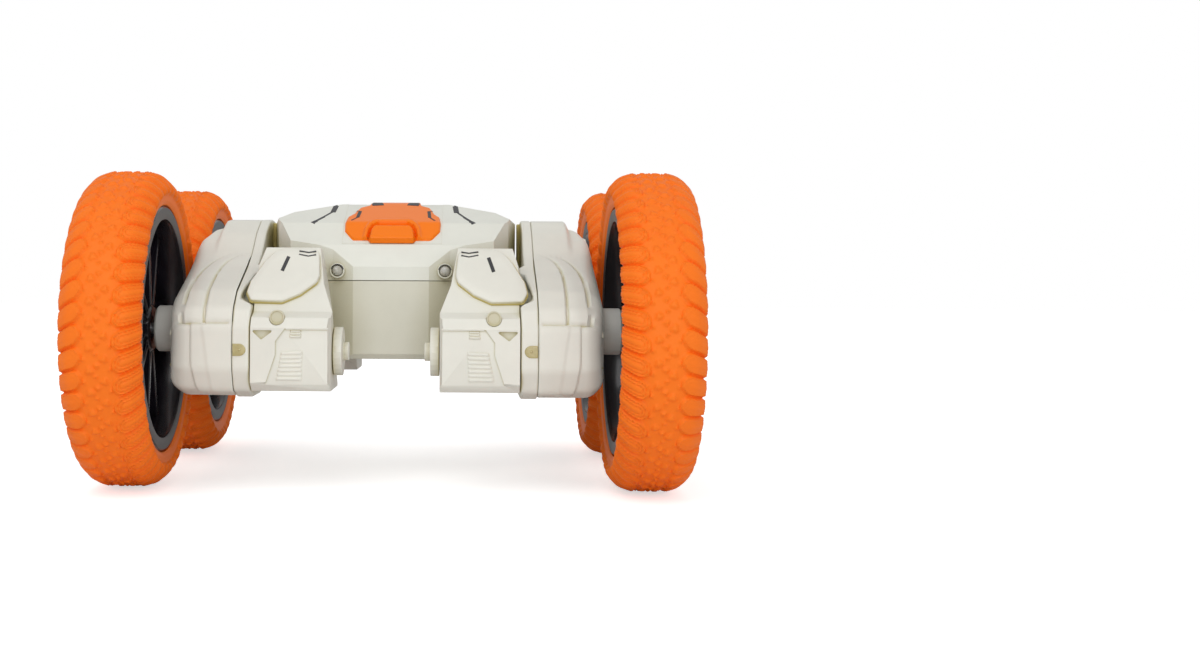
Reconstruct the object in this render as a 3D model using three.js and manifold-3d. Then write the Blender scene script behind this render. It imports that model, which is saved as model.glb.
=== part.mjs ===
// A four-wheel-drive stunt car. A central body carries two long side arms, each
// hinged about an upright pin, with a wheel, a geared motor and a nose at either
// end of each arm. Two meshed sector gears swing the arms apart together.
//
// Millimetres. +X is the car's left-to-right line, the front faces -Y and +Z is
// up. The origin is on the floor, under the middle of the car.

import * as THREE from 'three';
import { mergeVertices } from 'three/addons/utils/BufferGeometryUtils.js';
import Module from 'manifold-3d';

const wasm = await Module();
wasm.setup();

// ---------------------------------------------------------------- dimensions
const TYRE_RADIUS = 60;
const HALF_WHEELBASE = 63;
const AXLE_HEIGHT = TYRE_RADIUS;
const GAP = 0.3; // between neighbouring solids that are fixed together
const RUNNING = 0.07; // between a turning shaft and its bore

const TYRE_INNER_FACE = 81.5;
const TYRE_WIDTH = 31;
const RIM_RADIUS = 46.4;
const RIM_INNER_FACE = 84.4;
const RIM_OUTER_FACE = 109.6;
const RIM_OPENING_RADIUS = 40.7;
const DISC_INNER_FACE = 98.5;
const DISC_OUTER_FACE = 102;
const HUB_RADIUS = 8.7;
const SPOKE_COUNT = 10;

const AXLE_RADIUS = 2;
const GEAR_MODULE = 0.75;
const AXLE_GEAR_TEETH = 24;
const MOTOR_PINION_TEETH = 8;
const MOTOR_Y = 9.2; // from the axle, toward the car's end
const MOTOR_DROP = 7.7; // below the axle
const MOTOR_RADIUS = 9.6;

const ARM_OUTER_X = 80;
const ARM_INNER_X = 51.5; // beside the body
const NOSE_INNER_X = 49.2; // beside a motor housing
const ARM_SEAM_X = 55.6;
const ARM_WALL = 2;
const NOSE_Y = 88;

const HOUSING_INNER_X = 19.8;
const HOUSING_BACK_Y = 50;
const HOUSING_WALL = 1.8;

const PIVOT_X = 38;
const PIVOT_RADIUS = 2;
const SECTOR_PITCH_RADIUS = PIVOT_X; // the two sectors meet in the middle
const SECTOR_MODULE = 1;
const SECTOR_BOTTOM = 68;
const SECTOR_TOP = 74;
const SWING_PINION_TEETH = 10;
const SWING_PINION_ANGLE = 150 * Math.PI / 180; // seen from the right pivot

const BODY_BOTTOM = 48;
const BODY_SEAM = 78.6;
const BODY_FRONT_Y = 45;
const BODY_ROOF = 110.2;
const BODY_WALL = 2.4;
const PANEL_HALF_WIDTH = 19.3;
const PANEL_RECESS = 1.2;
const PANEL_PROUD = 0.6;
const LED_X = 20.5;
const LED_HEIGHT = 82.4;
const LED_RADIUS = 2.15;

// ----------------------------------------------------------------- materials
function surface(color, roughness, metalness = 0) {
  return new THREE.MeshStandardMaterial({ color, roughness, metalness });
}

const SHELL_WHITE = surface(0xe9e6db, 0.42);
const ARM_WHITE = surface(0xe4e0d3, 0.42);
const TYRE_ORANGE = surface(0xff7a22, 0.85);
const RIM_BLACK = surface(0x141216, 0.25);
const PANEL_ORANGE = surface(0xff5a08, 0.4);
const LENS_AMBER = surface(0xd2c585, 0.15);
const LED_CLEAR = surface(0xe8eef2, 0.08);
const STEEL = surface(0xb4b6b8, 0.3, 1);
const MOTOR_STEEL = surface(0x9fa2a5, 0.35, 1);
const GEAR_NYLON = surface(0xd8d6cc, 0.5);
const BRASS = surface(0xb9923e, 0.3, 1);
const BOARD_GREEN = surface(0x1f5a35, 0.5);
const BATTERY_BLUE = surface(0x23406b, 0.45);
const SWITCH_BLACK = surface(0x1b1b1d, 0.5);

// ------------------------------------------------------------ mesh utilities
const car = new THREE.Group();

function signedVolume(geometry) {
  const points = geometry.attributes.position;
  const index = geometry.index.array;
  const a = new THREE.Vector3();
  const b = new THREE.Vector3();
  const c = new THREE.Vector3();
  let volume = 0;
  for (let i = 0; i < index.length; i += 3) {
    a.fromBufferAttribute(points, index[i]);
    b.fromBufferAttribute(points, index[i + 1]);
    c.fromBufferAttribute(points, index[i + 2]);
    volume += a.dot(b.cross(c)) / 6;
  }
  return volume;
}

function flipFaces(geometry) {
  const index = geometry.index.array;
  for (let i = 0; i < index.length; i += 3) {
    const kept = index[i];
    index[i] = index[i + 1];
    index[i + 1] = kept;
  }
  return geometry;
}

// Welds a geometry into one closed mesh whose faces point outward.
function weld(geometry) {
  const bare = geometry.clone();
  bare.deleteAttribute('normal');
  bare.deleteAttribute('uv');
  const merged = mergeVertices(bare, 1e-4);
  const source = merged.index.array;
  const kept = [];
  for (let i = 0; i < source.length; i += 3) {
    const [a, b, c] = [source[i], source[i + 1], source[i + 2]];
    if (a !== b && b !== c && c !== a) {
      kept.push(a, b, c);
    }
  }
  merged.setIndex(kept);
  return signedVolume(merged) < 0 ? flipFaces(merged) : merged;
}

function toSolid(geometry) {
  const welded = weld(geometry);
  return new wasm.Manifold(new wasm.Mesh({
    numProp: 3,
    vertProperties: new Float32Array(welded.attributes.position.array),
    triVerts: new Uint32Array(welded.index.array),
  }));
}

function toGeometry(solid) {
  const mesh = solid.getMesh();
  const geometry = new THREE.BufferGeometry();
  geometry.setAttribute('position', new THREE.BufferAttribute(mesh.vertProperties, 3));
  geometry.setIndex(new THREE.BufferAttribute(mesh.triVerts, 1));
  return geometry;
}

function union(...solids) {
  return solids.reduce((whole, next) => whole.add(next));
}

function without(solid, ...cutters) {
  return cutters.reduce((rest, cutter) => rest.subtract(cutter), solid);
}

function common(...solids) {
  return solids.reduce((whole, next) => whole.intersect(next));
}

// Reflects a geometry to the other side and the other end of the car.
function reflected(geometry, side, end) {
  const copy = weld(geometry);
  copy.scale(side, end, 1);
  return side * end < 0 ? flipFaces(copy) : copy;
}

function addPiece(name, geometry, material) {
  const welded = weld(geometry);
  welded.computeVertexNormals();
  const mesh = new THREE.Mesh(welded, material);
  mesh.name = name;
  car.add(mesh);
}

// ----------------------------------------------------------- shape utilities
function outline(points) {
  return new THREE.Shape(points.map(([u, v]) => new THREE.Vector2(u, v)));
}

function extruded(points, depth) {
  return new THREE.ExtrudeGeometry(outline(points), { depth, bevelEnabled: false });
}

// A prism along X from an outline of (y, z) points.
function prismX(points, from, to) {
  const turn = new THREE.Matrix4().makeBasis(
    new THREE.Vector3(0, 1, 0), new THREE.Vector3(0, 0, 1), new THREE.Vector3(1, 0, 0));
  return toSolid(extruded(points, to - from).applyMatrix4(turn).translate(from, 0, 0));
}

// A prism along Y from an outline of (x, z) points.
function prismY(points, from, to) {
  const turn = new THREE.Matrix4().makeBasis(
    new THREE.Vector3(1, 0, 0), new THREE.Vector3(0, 0, 1), new THREE.Vector3(0, -1, 0));
  return toSolid(extruded(points, to - from).applyMatrix4(turn).translate(0, to, 0));
}

// A prism along Z from an outline of (x, y) points.
function prismZ(points, from, to) {
  return toSolid(extruded(points, to - from).translate(0, 0, from));
}

function box([x0, y0, z0], [x1, y1, z1]) {
  const geometry = new THREE.BoxGeometry(x1 - x0, y1 - y0, z1 - z0);
  return toSolid(geometry.translate((x0 + x1) / 2, (y0 + y1) / 2, (z0 + z1) / 2));
}

// Turned shapes: the profile is a list of (radius, distance along the axis).
function turned(profile, segments) {
  return new THREE.LatheGeometry(profile.map(([r, t]) => new THREE.Vector2(r, t)), segments);
}

function turnedX(profile, y, z, segments = 24) {
  return turned(profile, segments).rotateZ(-Math.PI / 2).translate(0, y, z);
}

function turnedZ(profile, x, y, segments = 24) {
  return turned(profile, segments).rotateX(Math.PI / 2).translate(x, y, 0);
}

function rodProfile(radius, from, to) {
  return [[0, from], [radius, from], [radius, to], [0, to]];
}

function rodX(radius, from, to, y, z, segments = 24) {
  return toSolid(turnedX(rodProfile(radius, from, to), y, z, segments));
}

function rodZ(radius, from, to, x, y, segments = 24) {
  return toSolid(turnedZ(rodProfile(radius, from, to), x, y, segments));
}

// Both halves of an outline that is the same at the front and the back.
function bothEnds(points) {
  const back = points.filter(([y]) => y !== 0).map(([y, z]) => [-y, z]).reverse();
  return [...points, ...back];
}

// Moves every edge of a convex outline inward by the same distance.
function inset(points, distance) {
  const area = points.reduce((sum, [u, v], i) => {
    const [nextU, nextV] = points[(i + 1) % points.length];
    return sum + u * nextV - nextU * v;
  }, 0);
  const turn = Math.sign(area);
  const edges = points.map(([u, v], i) => {
    const [nextU, nextV] = points[(i + 1) % points.length];
    const length = Math.hypot(nextU - u, nextV - v);
    const normal = [-turn * (nextV - v) / length, turn * (nextU - u) / length];
    return { normal, reach: normal[0] * u + normal[1] * v + distance };
  });
  return edges.map((edge, i) => {
    const before = edges[(i + edges.length - 1) % edges.length];
    const cross = before.normal[0] * edge.normal[1] - before.normal[1] * edge.normal[0];
    const u = (before.reach * edge.normal[1] - edge.reach * before.normal[1]) / cross;
    const v = (edge.reach * before.normal[0] - before.reach * edge.normal[0]) / cross;
    return [u, v];
  });
}

// The outline of a spur gear, centred on the origin, with a tooth along the
// given angle. Teeth between first and last only; the rest is left to `closing`.
function gearOutline(teeth, module, phase, first = 0, last = teeth - 1, closing = []) {
  const pitch = teeth * module / 2;
  const root = pitch - 1.2 * module;
  const tip = pitch + 0.9 * module;
  const step = 2 * Math.PI / teeth;
  const points = [];
  for (let tooth = first; tooth <= last; tooth += 1) {
    const middle = phase + tooth * step;
    for (const [radius, part] of [[root, -0.30], [tip, -0.11], [tip, 0.11], [root, 0.30]]) {
      const angle = middle + part * step;
      points.push([radius * Math.cos(angle), radius * Math.sin(angle)]);
    }
  }
  return [...points, ...closing];
}

function moved(points, du, dv) {
  return points.map(([u, v]) => [u + du, v + dv]);
}

// -------------------------------------------------------------------- wheels
// The pieces of one corner are drawn at the right front and reflected.
const CORNERS = [
  { name: 'left_front', side: -1, end: 1 },
  { name: 'right_front', side: 1, end: 1 },
  { name: 'left_rear', side: -1, end: -1 },
  { name: 'right_rear', side: 1, end: -1 },
];
const WHEEL_Y = -HALF_WHEELBASE;
const WHEEL_SEGMENTS = 30;

function tyreGeometry() {
  const middle = TYRE_INNER_FACE + TYRE_WIDTH / 2;
  const half = [
    [RIM_RADIUS + GAP, TYRE_WIDTH / 2 - 3],
    [50.5, TYRE_WIDTH / 2 - 0.2],
    [54, TYRE_WIDTH / 2],
    [57.8, TYRE_WIDTH / 2 - 3.2],
    [TYRE_RADIUS, TYRE_WIDTH / 2 - 9],
  ];
  const outerHalf = half.map(([r, t]) => [r, middle + t]);
  const innerHalf = half.map(([r, t]) => [r, middle - t]).reverse();
  const profile = [...outerHalf, ...innerHalf, outerHalf[0]];
  return turnedX(profile, WHEEL_Y, AXLE_HEIGHT, WHEEL_SEGMENTS);
}

// The barrel that the tyre sits on, open on both sides.
function rimGeometry() {
  const profile = [
    [RIM_OPENING_RADIUS, RIM_INNER_FACE],
    [RIM_RADIUS, RIM_INNER_FACE],
    [RIM_RADIUS, RIM_OUTER_FACE],
    [RIM_OPENING_RADIUS, RIM_OUTER_FACE],
    [RIM_OPENING_RADIUS, RIM_INNER_FACE],
  ];
  return turnedX(profile, WHEEL_Y, AXLE_HEIGHT, WHEEL_SEGMENTS);
}

// The hub and its spokes, inside the barrel.
function wheelDiscSolid() {
  const profile = [
    [AXLE_RADIUS + GAP, 91],
    [HUB_RADIUS, 91],
    [HUB_RADIUS, DISC_INNER_FACE],
    [RIM_OPENING_RADIUS - GAP, DISC_INNER_FACE],
    [RIM_OPENING_RADIUS - GAP, DISC_OUTER_FACE],
    [HUB_RADIUS, DISC_OUTER_FACE],
    [HUB_RADIUS, 106],
    [AXLE_RADIUS + GAP, 106],
    [AXLE_RADIUS + GAP, 91],
  ];
  const disc = toSolid(turnedX(profile, WHEEL_Y, AXLE_HEIGHT, WHEEL_SEGMENTS));
  const windows = [];
  for (let spoke = 0; spoke < SPOKE_COUNT; spoke += 1) {
    const middle = (spoke + 0.5) * 2 * Math.PI / SPOKE_COUNT + Math.PI / 2;
    const corners = [[12, -0.08], [37, -0.24], [37, 0.24], [12, 0.08]];
    const opening = corners.map(([r, angle]) => [
      WHEEL_Y + r * Math.cos(middle + angle), AXLE_HEIGHT + r * Math.sin(middle + angle)]);
    windows.push(prismX(opening, DISC_INNER_FACE - 1, DISC_OUTER_FACE + 1));
  }
  return without(disc, ...windows);
}

function meshAngle() {
  return Math.atan2(-MOTOR_DROP, -MOTOR_Y);
}

// The axle with its pressed-on gear.
function axleSolid() {
  const teeth = gearOutline(AXLE_GEAR_TEETH, GEAR_MODULE, meshAngle());
  const gear = prismX(moved(teeth, WHEEL_Y, AXLE_HEIGHT), 61, 64.5);
  return union(rodX(AXLE_RADIUS, 54.6, 109, WHEEL_Y, AXLE_HEIGHT), gear);
}

function motorPinionSolid() {
  const halfTooth = Math.PI / MOTOR_PINION_TEETH;
  const teeth = gearOutline(MOTOR_PINION_TEETH, GEAR_MODULE, meshAngle() + Math.PI + halfTooth);
  const [y, z] = [WHEEL_Y - MOTOR_Y, AXLE_HEIGHT - MOTOR_DROP];
  return without(prismX(moved(teeth, y, z), 60.6, 64.9), rodX(1 + RUNNING, 60, 66, y, z, 12));
}

function motorGeometry() {
  const profile = [
    [0, 22.8],
    [3, 22.8],
    [3, 24],
    [MOTOR_RADIUS, 24],
    [MOTOR_RADIUS, 47],
    [3, 47],
    [3, 48.6],
    [1, 48.6],
    [1, 66],
    [0, 66],
  ];
  return turnedX(profile, WHEEL_Y - MOTOR_Y, AXLE_HEIGHT - MOTOR_DROP, 24);
}

function addWheel({ name, side, end }) {
  addPiece(`${name}_tyre`, reflected(tyreGeometry(), side, end), TYRE_ORANGE);
  addPiece(`${name}_rim`, reflected(rimGeometry(), side, end), RIM_BLACK);
  addPiece(`${name}_wheel_disc`, reflected(toGeometry(wheelDiscSolid()), side, end), RIM_BLACK);
  addPiece(`${name}_axle`, reflected(toGeometry(axleSolid()), side, end), STEEL);
  addPiece(`${name}_motor`, reflected(motorGeometry(), side, end), MOTOR_STEEL);
  addPiece(`${name}_motor_pinion`, reflected(toGeometry(motorPinionSolid()), side, end), BRASS);
}

// ---------------------------------------------------------------------- arms
// Drawn for the right arm, the same at the front and the back.
const ARM_SIDE_VIEW = bothEnds([
  [0, 44],
  [-30, 43],
  [-42, 38.5],
  [-54, 35],
  [-74, 35],
  [-83, 38],
  [-NOSE_Y, 46],
  [-NOSE_Y, 61],
  [-85, 68],
  [-76, 74.5],
  [-50, 83.5],
  [-38, 88],
  [-23, 98],
  [-10, 103],
  [0, 104],
]);

const ARM_FRONT_VIEW = [
  [46, 34],
  [70, 34],
  [77, 37.5],
  [ARM_OUTER_X, 43],
  [ARM_OUTER_X, 78],
  [78, 85],
  [73.5, 98.5],
  [66, 104.5],
  [46, 104.5],
];

function armPlan(wall) {
  const outer = [[73, 0], [73.5, -20], [78, -36], [80, -48], [80, -78], [78, -84.5], [73, -88]];
  const inner = [[NOSE_INNER_X, -88], [NOSE_INNER_X, -50], [ARM_INNER_X, -47.5], [ARM_INNER_X, 0]];
  const walled = [
    ...outer.map(([x, y]) => [x - wall, y === 0 ? 0 : y + wall * 0.7]),
    ...inner.map(([x, y]) => [x + wall, y === 0 ? 0 : y + wall * 0.7]),
  ];
  const front = walled.filter(([, y]) => y !== 0);
  return [...front, ...front.map(([x, y]) => [x, -y]).reverse()];
}

function armSolid(wall) {
  const side = wall === 0 ? ARM_SIDE_VIEW : inset(ARM_SIDE_VIEW, wall);
  const front = wall === 0 ? ARM_FRONT_VIEW : inset(ARM_FRONT_VIEW, wall);
  return common(
    prismX(side, 40, 90), prismY(front, -NOSE_Y, NOSE_Y), prismZ(armPlan(wall), 30, 110));
}

function hollowArm() {
  return without(armSolid(0), armSolid(ARM_WALL));
}

const FRONT = -1;
const REAR = 1;

// A length-wise copy for each end: the motor's place and the axle's place.
function motorPlace(end) {
  return [end * (HALF_WHEELBASE + MOTOR_Y), AXLE_HEIGHT - MOTOR_DROP];
}

function outerCoverSolid() {
  const cover = common(hollowArm(), box([ARM_SEAM_X + GAP / 2, -100, 20], [90, 100, 120]));
  const ledge = box([60, -8, 60], [72, 8, SECTOR_BOTTOM - GAP]);
  const bosses = [FRONT, REAR].map((end) =>
    rodX(HUB_RADIUS, 75, 87.6, end * HALF_WHEELBASE, AXLE_HEIGHT));
  const bores = [FRONT, REAR].map((end) =>
    rodX(AXLE_RADIUS + RUNNING, 70, 95, end * HALF_WHEELBASE, AXLE_HEIGHT));
  return without(union(cover, ledge, ...bosses), ...bores);
}

function lensOutline(grow) {
  const [x, z, radius] = [52.6, 53.6, 2.2 + grow];
  const points = [[55 + grow, z - radius], [55 + grow, z + radius]];
  for (let step = 0; step <= 8; step += 1) {
    const angle = Math.PI / 2 + step * Math.PI / 8;
    points.push([x + radius * Math.cos(angle), z + radius * Math.sin(angle)]);
  }
  return points;
}

function lensSolid() {
  return prismY(lensOutline(0), -NOSE_Y - 0.4, -NOSE_Y + 2.6);
}

function innerShellSolid() {
  const shell = common(hollowArm(), box([40, -100, 20], [ARM_SEAM_X - GAP / 2, 100, 120]));
  const slot = box([50, -10.4, SECTOR_BOTTOM - 0.6], [57, 10.4, SECTOR_TOP + 0.6]);
  const cuts = [slot];
  const bearings = [];
  for (const end of [FRONT, REAR]) {
    const [motorY, motorZ] = motorPlace(end);
    cuts.push(rodX(3.3, 45, 53, motorY, motorZ, 16));
    const [lensFront, lensBack] = end < 0 ? [-NOSE_Y - 1, 3 - NOSE_Y] : [NOSE_Y - 3, NOSE_Y + 1];
    cuts.push(prismY(lensOutline(GAP), lensFront, lensBack));
    cuts.push(rodX(AXLE_RADIUS + RUNNING, 54, 62, end * HALF_WHEELBASE, AXLE_HEIGHT));
    bearings.push(rodX(4.6, 50.5, 59.5, end * HALF_WHEELBASE, AXLE_HEIGHT));
  }
  return without(union(shell, ...bearings), ...cuts);
}

const HOUSING_SIDE_VIEW = [
  [-NOSE_Y, 43],
  [-NOSE_Y, 61.5],
  [-85.5, 65],
  [-79.5, 67],
  [-59, 91],
  [-53, 91],
  [-HOUSING_BACK_Y, 87],
  [-HOUSING_BACK_Y, 42],
  [-54, 38],
  [-83, 38],
];

const HOUSING_FRONT_VIEW = [
  [HOUSING_INNER_X, 38],
  [48.9, 38],
  [48.9, 84],
  [46.8, 91],
  [22.3, 91],
  [HOUSING_INNER_X, 77],
];

const HOUSING_PLAN = [
  [48.9, -NOSE_Y],
  [48.9, -HOUSING_BACK_Y],
  [23, -HOUSING_BACK_Y],
  [HOUSING_INNER_X, -53],
  [HOUSING_INNER_X, -84.5],
  [23, -NOSE_Y],
];

function motorHousingSolid() {
  const outer = common(
    prismX(HOUSING_SIDE_VIEW, 10, 60),
    prismY(HOUSING_FRONT_VIEW, -100, -40),
    prismZ(HOUSING_PLAN, 30, 100));
  const openFront = HOUSING_FRONT_VIEW.map(([x, z]) => [x > 40 ? x + 6 : x, z]);
  const openPlan = HOUSING_PLAN.map(([x, y]) => [x > 40 ? x + 6 : x, y]);
  const hollow = common(
    prismX(inset(HOUSING_SIDE_VIEW, HOUSING_WALL), 10, 60),
    prismY(inset(openFront, HOUSING_WALL), -100, -40),
    prismZ(inset(openPlan, HOUSING_WALL), 30, 100));
  const [motorY, motorZ] = motorPlace(FRONT);
  return without(outer, hollow, rodX(6, 15, 25, motorY, motorZ, 20));
}

function endCapGeometry() {
  const [motorY, motorZ] = motorPlace(FRONT);
  const profile = [
    [0, 14],
    [3.4, 14],
    [3.4, 16.2],
    [9, 16.2],
    [9, HOUSING_INNER_X - GAP],
    [5.7, HOUSING_INNER_X - GAP],
    [5.7, 22.4],
    [0, 22.4],
  ];
  return turnedX(profile, motorY, motorZ, 24);
}

// A flat cover plate lying on the housing's sloping front.
function coverPlateSolid() {
  const face = [[46.5, 89.6], [23, 89.6], [21, 80.6], [37.5, 70], [48.4, 75]];
  const slope = new THREE.Vector2(-59 + 79.5, 91 - 67).normalize();
  const [low, high] = [[-79.5, 67], [-59, 91]];
  const lift = (point, height) => [point[0] - slope.y * height, point[1] + slope.x * height];
  const strip = [lift(low, GAP), lift(low, 2.2), lift(high, 2.2), lift(high, GAP)];
  return common(prismY(face, -100, -40), prismX(strip, 15, 55));
}

// The plate that hinges an arm: gear teeth toward the middle, an eye on the
// pivot pin and a tail bolted inside the arm.
function sectorSolid(phase, first, last) {
  const teeth = Math.round(2 * SECTOR_PITCH_RADIUS / SECTOR_MODULE);
  const tail = [[5, -8], [9, -10], [28, -10], [28, 10], [9, 10], [4, 8]];
  const plate = gearOutline(teeth, SECTOR_MODULE, phase, first, last, tail);
  const solid = prismZ(moved(plate, PIVOT_X, 0), SECTOR_BOTTOM, SECTOR_TOP);
  return without(solid, rodZ(PIVOT_RADIUS + RUNNING, 60, 80, PIVOT_X, 0));
}

function addArm(name, side) {
  addPiece(`${name}_arm_outer_cover`, reflected(toGeometry(outerCoverSolid()), side, 1), ARM_WHITE);
  addPiece(`${name}_arm_inner_shell`, reflected(toGeometry(innerShellSolid()), side, 1), ARM_WHITE);
  for (const [place, end] of [['front', 1], ['rear', -1]]) {
    const corner = `${name}_${place}`;
    addPiece(`${corner}_motor_housing`, reflected(toGeometry(motorHousingSolid()), side, end), ARM_WHITE);
    addPiece(`${corner}_end_cap`, reflected(endCapGeometry(), side, end), ARM_WHITE);
    addPiece(`${corner}_cover_plate`, reflected(toGeometry(coverPlateSolid()), side, end), SHELL_WHITE);
    addPiece(`${corner}_lens`, reflected(toGeometry(lensSolid()), side, end), LENS_AMBER);
  }
}

function addSectors() {
  const toothAngle = 2 * Math.PI / (2 * SECTOR_PITCH_RADIUS / SECTOR_MODULE);
  // The right plate has a gap on the centre line and reaches round to the
  // swing pinion; the left plate has a tooth there and mirrors its shape.
  addPiece('right_swing_sector', toGeometry(sectorSolid(Math.PI + toothAngle / 2, -10, 2)), GEAR_NYLON);
  const left = toGeometry(sectorSolid(Math.PI, -3, 3));
  addPiece('left_swing_sector', reflected(left, -1, 1), GEAR_NYLON);
}

// ---------------------------------------------------------------------- body
const BODY_PLAN_QUARTER = [[14.8, 45], [23, 41.5], [40, 38.5], [46, 27], [49.3, 8]];

function bodyPlan() {
  const right = [...BODY_PLAN_QUARTER, ...BODY_PLAN_QUARTER.map(([x, y]) => [x, -y]).reverse()];
  return [...right, ...right.map(([x, y]) => [-x, y]).reverse()];
}

const BODY_SIDE_VIEW = bothEnds([
  [-43.6, BODY_BOTTOM],
  [-BODY_FRONT_Y, 50],
  [-BODY_FRONT_Y, 84],
  [-40.5, 92.6],
  [-30, 101.6],
  [-6, BODY_ROOF],
]);

const BODY_FRONT_VIEW = bothEnds([
  [-42, BODY_BOTTOM],
  [-49.5, 55],
  [-49.5, 102],
  [-41, 106.4],
  [-22, BODY_ROOF],
]);

function bodySolid(wall) {
  const plan = wall === 0 ? bodyPlan() : inset(bodyPlan(), wall);
  const side = wall === 0 ? BODY_SIDE_VIEW : inset(BODY_SIDE_VIEW, wall);
  const front = wall === 0 ? BODY_FRONT_VIEW : inset(BODY_FRONT_VIEW, wall);
  return common(prismX(side, -60, 60), prismY(front, -60, 60), prismZ(plan, 40, 120));
}

function hollowBody() {
  return without(bodySolid(0), bodySolid(BODY_WALL));
}

const DOOR = { halfWidth: 19, front: -6, back: 34 };
const SWITCH_HEIGHT = 60;
const BOARD_POSTS = [[-18, -31], [18, -31]];

function lowerShellSolid() {
  const shell = common(hollowBody(), box([-60, -60, 40], [60, 60, BODY_SEAM - GAP / 2]));
  const pivotPosts = [-PIVOT_X, PIVOT_X].map((x) => rodZ(4.6, 49, SECTOR_BOTTOM - 0.4, x, 0, 16));
  const boardPosts = BOARD_POSTS.map(([x, y]) => rodZ(2.5, 49, 83.7, x, y, 12));
  const tailSlots = [[-56, -44], [44, 56]].map(([from, to]) =>
    box([from, -13.2, SECTOR_BOTTOM - 1.2], [to, 13.2, SECTOR_TOP + 1.2]));
  const pinHoles = [-PIVOT_X, PIVOT_X].map((x) => rodZ(PIVOT_RADIUS + GAP, 54, 70, x, 0, 16));
  const doorway = box(
    [-DOOR.halfWidth - GAP, DOOR.front - GAP, 45], [DOOR.halfWidth + GAP, DOOR.back + GAP, 52]);
  const switchSlot = box([-4.6, 40, SWITCH_HEIGHT - 1.8], [4.6, 50, SWITCH_HEIGHT + 1.8]);
  return without(
    union(shell, ...pivotPosts, ...boardPosts), ...tailSlots, ...pinHoles, doorway, switchSlot);
}

// The strip between two heights above the body's roof line, across the panel.
function panelStrip(halfWidth, low, high) {
  const line = [
    [-40, 93], [-30, 101.6], [-6, BODY_ROOF], [6, BODY_ROOF], [30, 101.6], [40, 93]];
  const lower = line.map(([y, z]) => [y, z + low]);
  const upper = line.map(([y, z]) => [y, z + high]).reverse();
  return prismX([...lower, ...upper], -halfWidth, halfWidth);
}

function upperShellSolid() {
  const shell = common(hollowBody(), box([-60, -60, BODY_SEAM + GAP / 2], [60, 60, 120]));
  const inside = common(bodySolid(1), box([-60, -60, SECTOR_TOP + 0.4], [60, 60, 120]));
  const pivotPosts = [-PIVOT_X, PIVOT_X].map((x) =>
    common(rodZ(4.6, SECTOR_TOP + 0.4, 110, x, 0, 16), inside));
  const motorRing = common(rodZ(10.4, 86, 110, ...swingPinionPlace(), 20), inside);
  const pinHoles = [-PIVOT_X, PIVOT_X].map((x) => rodZ(PIVOT_RADIUS + GAP, 70, 90.5, x, 0, 16));
  const motorHole = rodZ(8 + GAP, 80, 92.8, ...swingPinionPlace(), 20);
  const ledHoles = [-LED_X, LED_X].map((x) =>
    prismY(circle(LED_RADIUS + GAP, x, LED_HEIGHT, 14), -50, -36));
  const panelRecess = panelStrip(PANEL_HALF_WIDTH + GAP, -PANEL_RECESS, 20);
  return without(
    union(shell, ...pivotPosts, motorRing), ...pinHoles, motorHole, ...ledHoles, panelRecess);
}

function circle(radius, u, v, segments) {
  const points = [];
  for (let step = 0; step < segments; step += 1) {
    const angle = step * 2 * Math.PI / segments;
    points.push([u + radius * Math.cos(angle), v + radius * Math.sin(angle)]);
  }
  return points;
}

function topPanelSolid() {
  return panelStrip(PANEL_HALF_WIDTH, GAP - PANEL_RECESS, PANEL_PROUD);
}

function ledGeometry(x) {
  const profile = [
    [0, 39],
    [LED_RADIUS, 39],
    [LED_RADIUS, 43.4],
    [1.5, 44.6],
    [0, 45],
  ];
  return turned(profile, 14).rotateX(Math.PI).translate(x, 0, LED_HEIGHT);
}

function swingPinionPlace() {
  const distance = SECTOR_PITCH_RADIUS + SWING_PINION_TEETH * SECTOR_MODULE / 2;
  return [
    PIVOT_X + distance * Math.cos(SWING_PINION_ANGLE), distance * Math.sin(SWING_PINION_ANGLE)];
}

function swingPinionSolid() {
  const sectorTooth = 2 * Math.PI / (2 * SECTOR_PITCH_RADIUS / SECTOR_MODULE);
  const pinionTooth = 2 * Math.PI / SWING_PINION_TEETH;
  // The sector's nearest tooth is this far past the line of centres.
  const past = (Math.PI + sectorTooth / 2 - SWING_PINION_ANGLE) % sectorTooth;
  const share = past / sectorTooth;
  const phase = SWING_PINION_ANGLE + Math.PI + pinionTooth * (0.5 - share);
  const [x, y] = swingPinionPlace();
  const teeth = gearOutline(SWING_PINION_TEETH, SECTOR_MODULE, phase);
  const gear = prismZ(moved(teeth, x, y), SECTOR_BOTTOM, SECTOR_TOP);
  return without(gear, rodZ(1 + RUNNING, 60, 80, x, y, 12));
}

function swingMotorGeometry() {
  const profile = [
    [0, 67],
    [1, 67],
    [1, 77],
    [3, 77],
    [3, 78.5],
    [8, 78.5],
    [8, 92.5],
    [0, 92.5],
  ];
  return turnedZ(profile, ...swingPinionPlace(), 20);
}

function circuitBoardSolid() {
  const board = box([-24, -36, 84], [24, 8, 85.6]);
  const radio = box([-6, -30, 85], [6, -18, 87.4]);
  const driver = box([-18, -14, 85], [-8, -4, 87]);
  const capacitor = rodZ(3, 85, 91, 15, -10, 12);
  return union(board, radio, driver, capacitor);
}

function powerSwitchSolid() {
  const slider = box([-4, 43, SWITCH_HEIGHT - 1.4], [0, 47, SWITCH_HEIGHT + 1.4]);
  const keeper = box([-6, 40.5, SWITCH_HEIGHT - 3], [2, 42.3, SWITCH_HEIGHT + 3]);
  const neck = box([-3.6, 42, SWITCH_HEIGHT - 1.2], [-0.4, 44, SWITCH_HEIGHT + 1.2]);
  return union(slider, keeper, neck);
}

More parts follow.
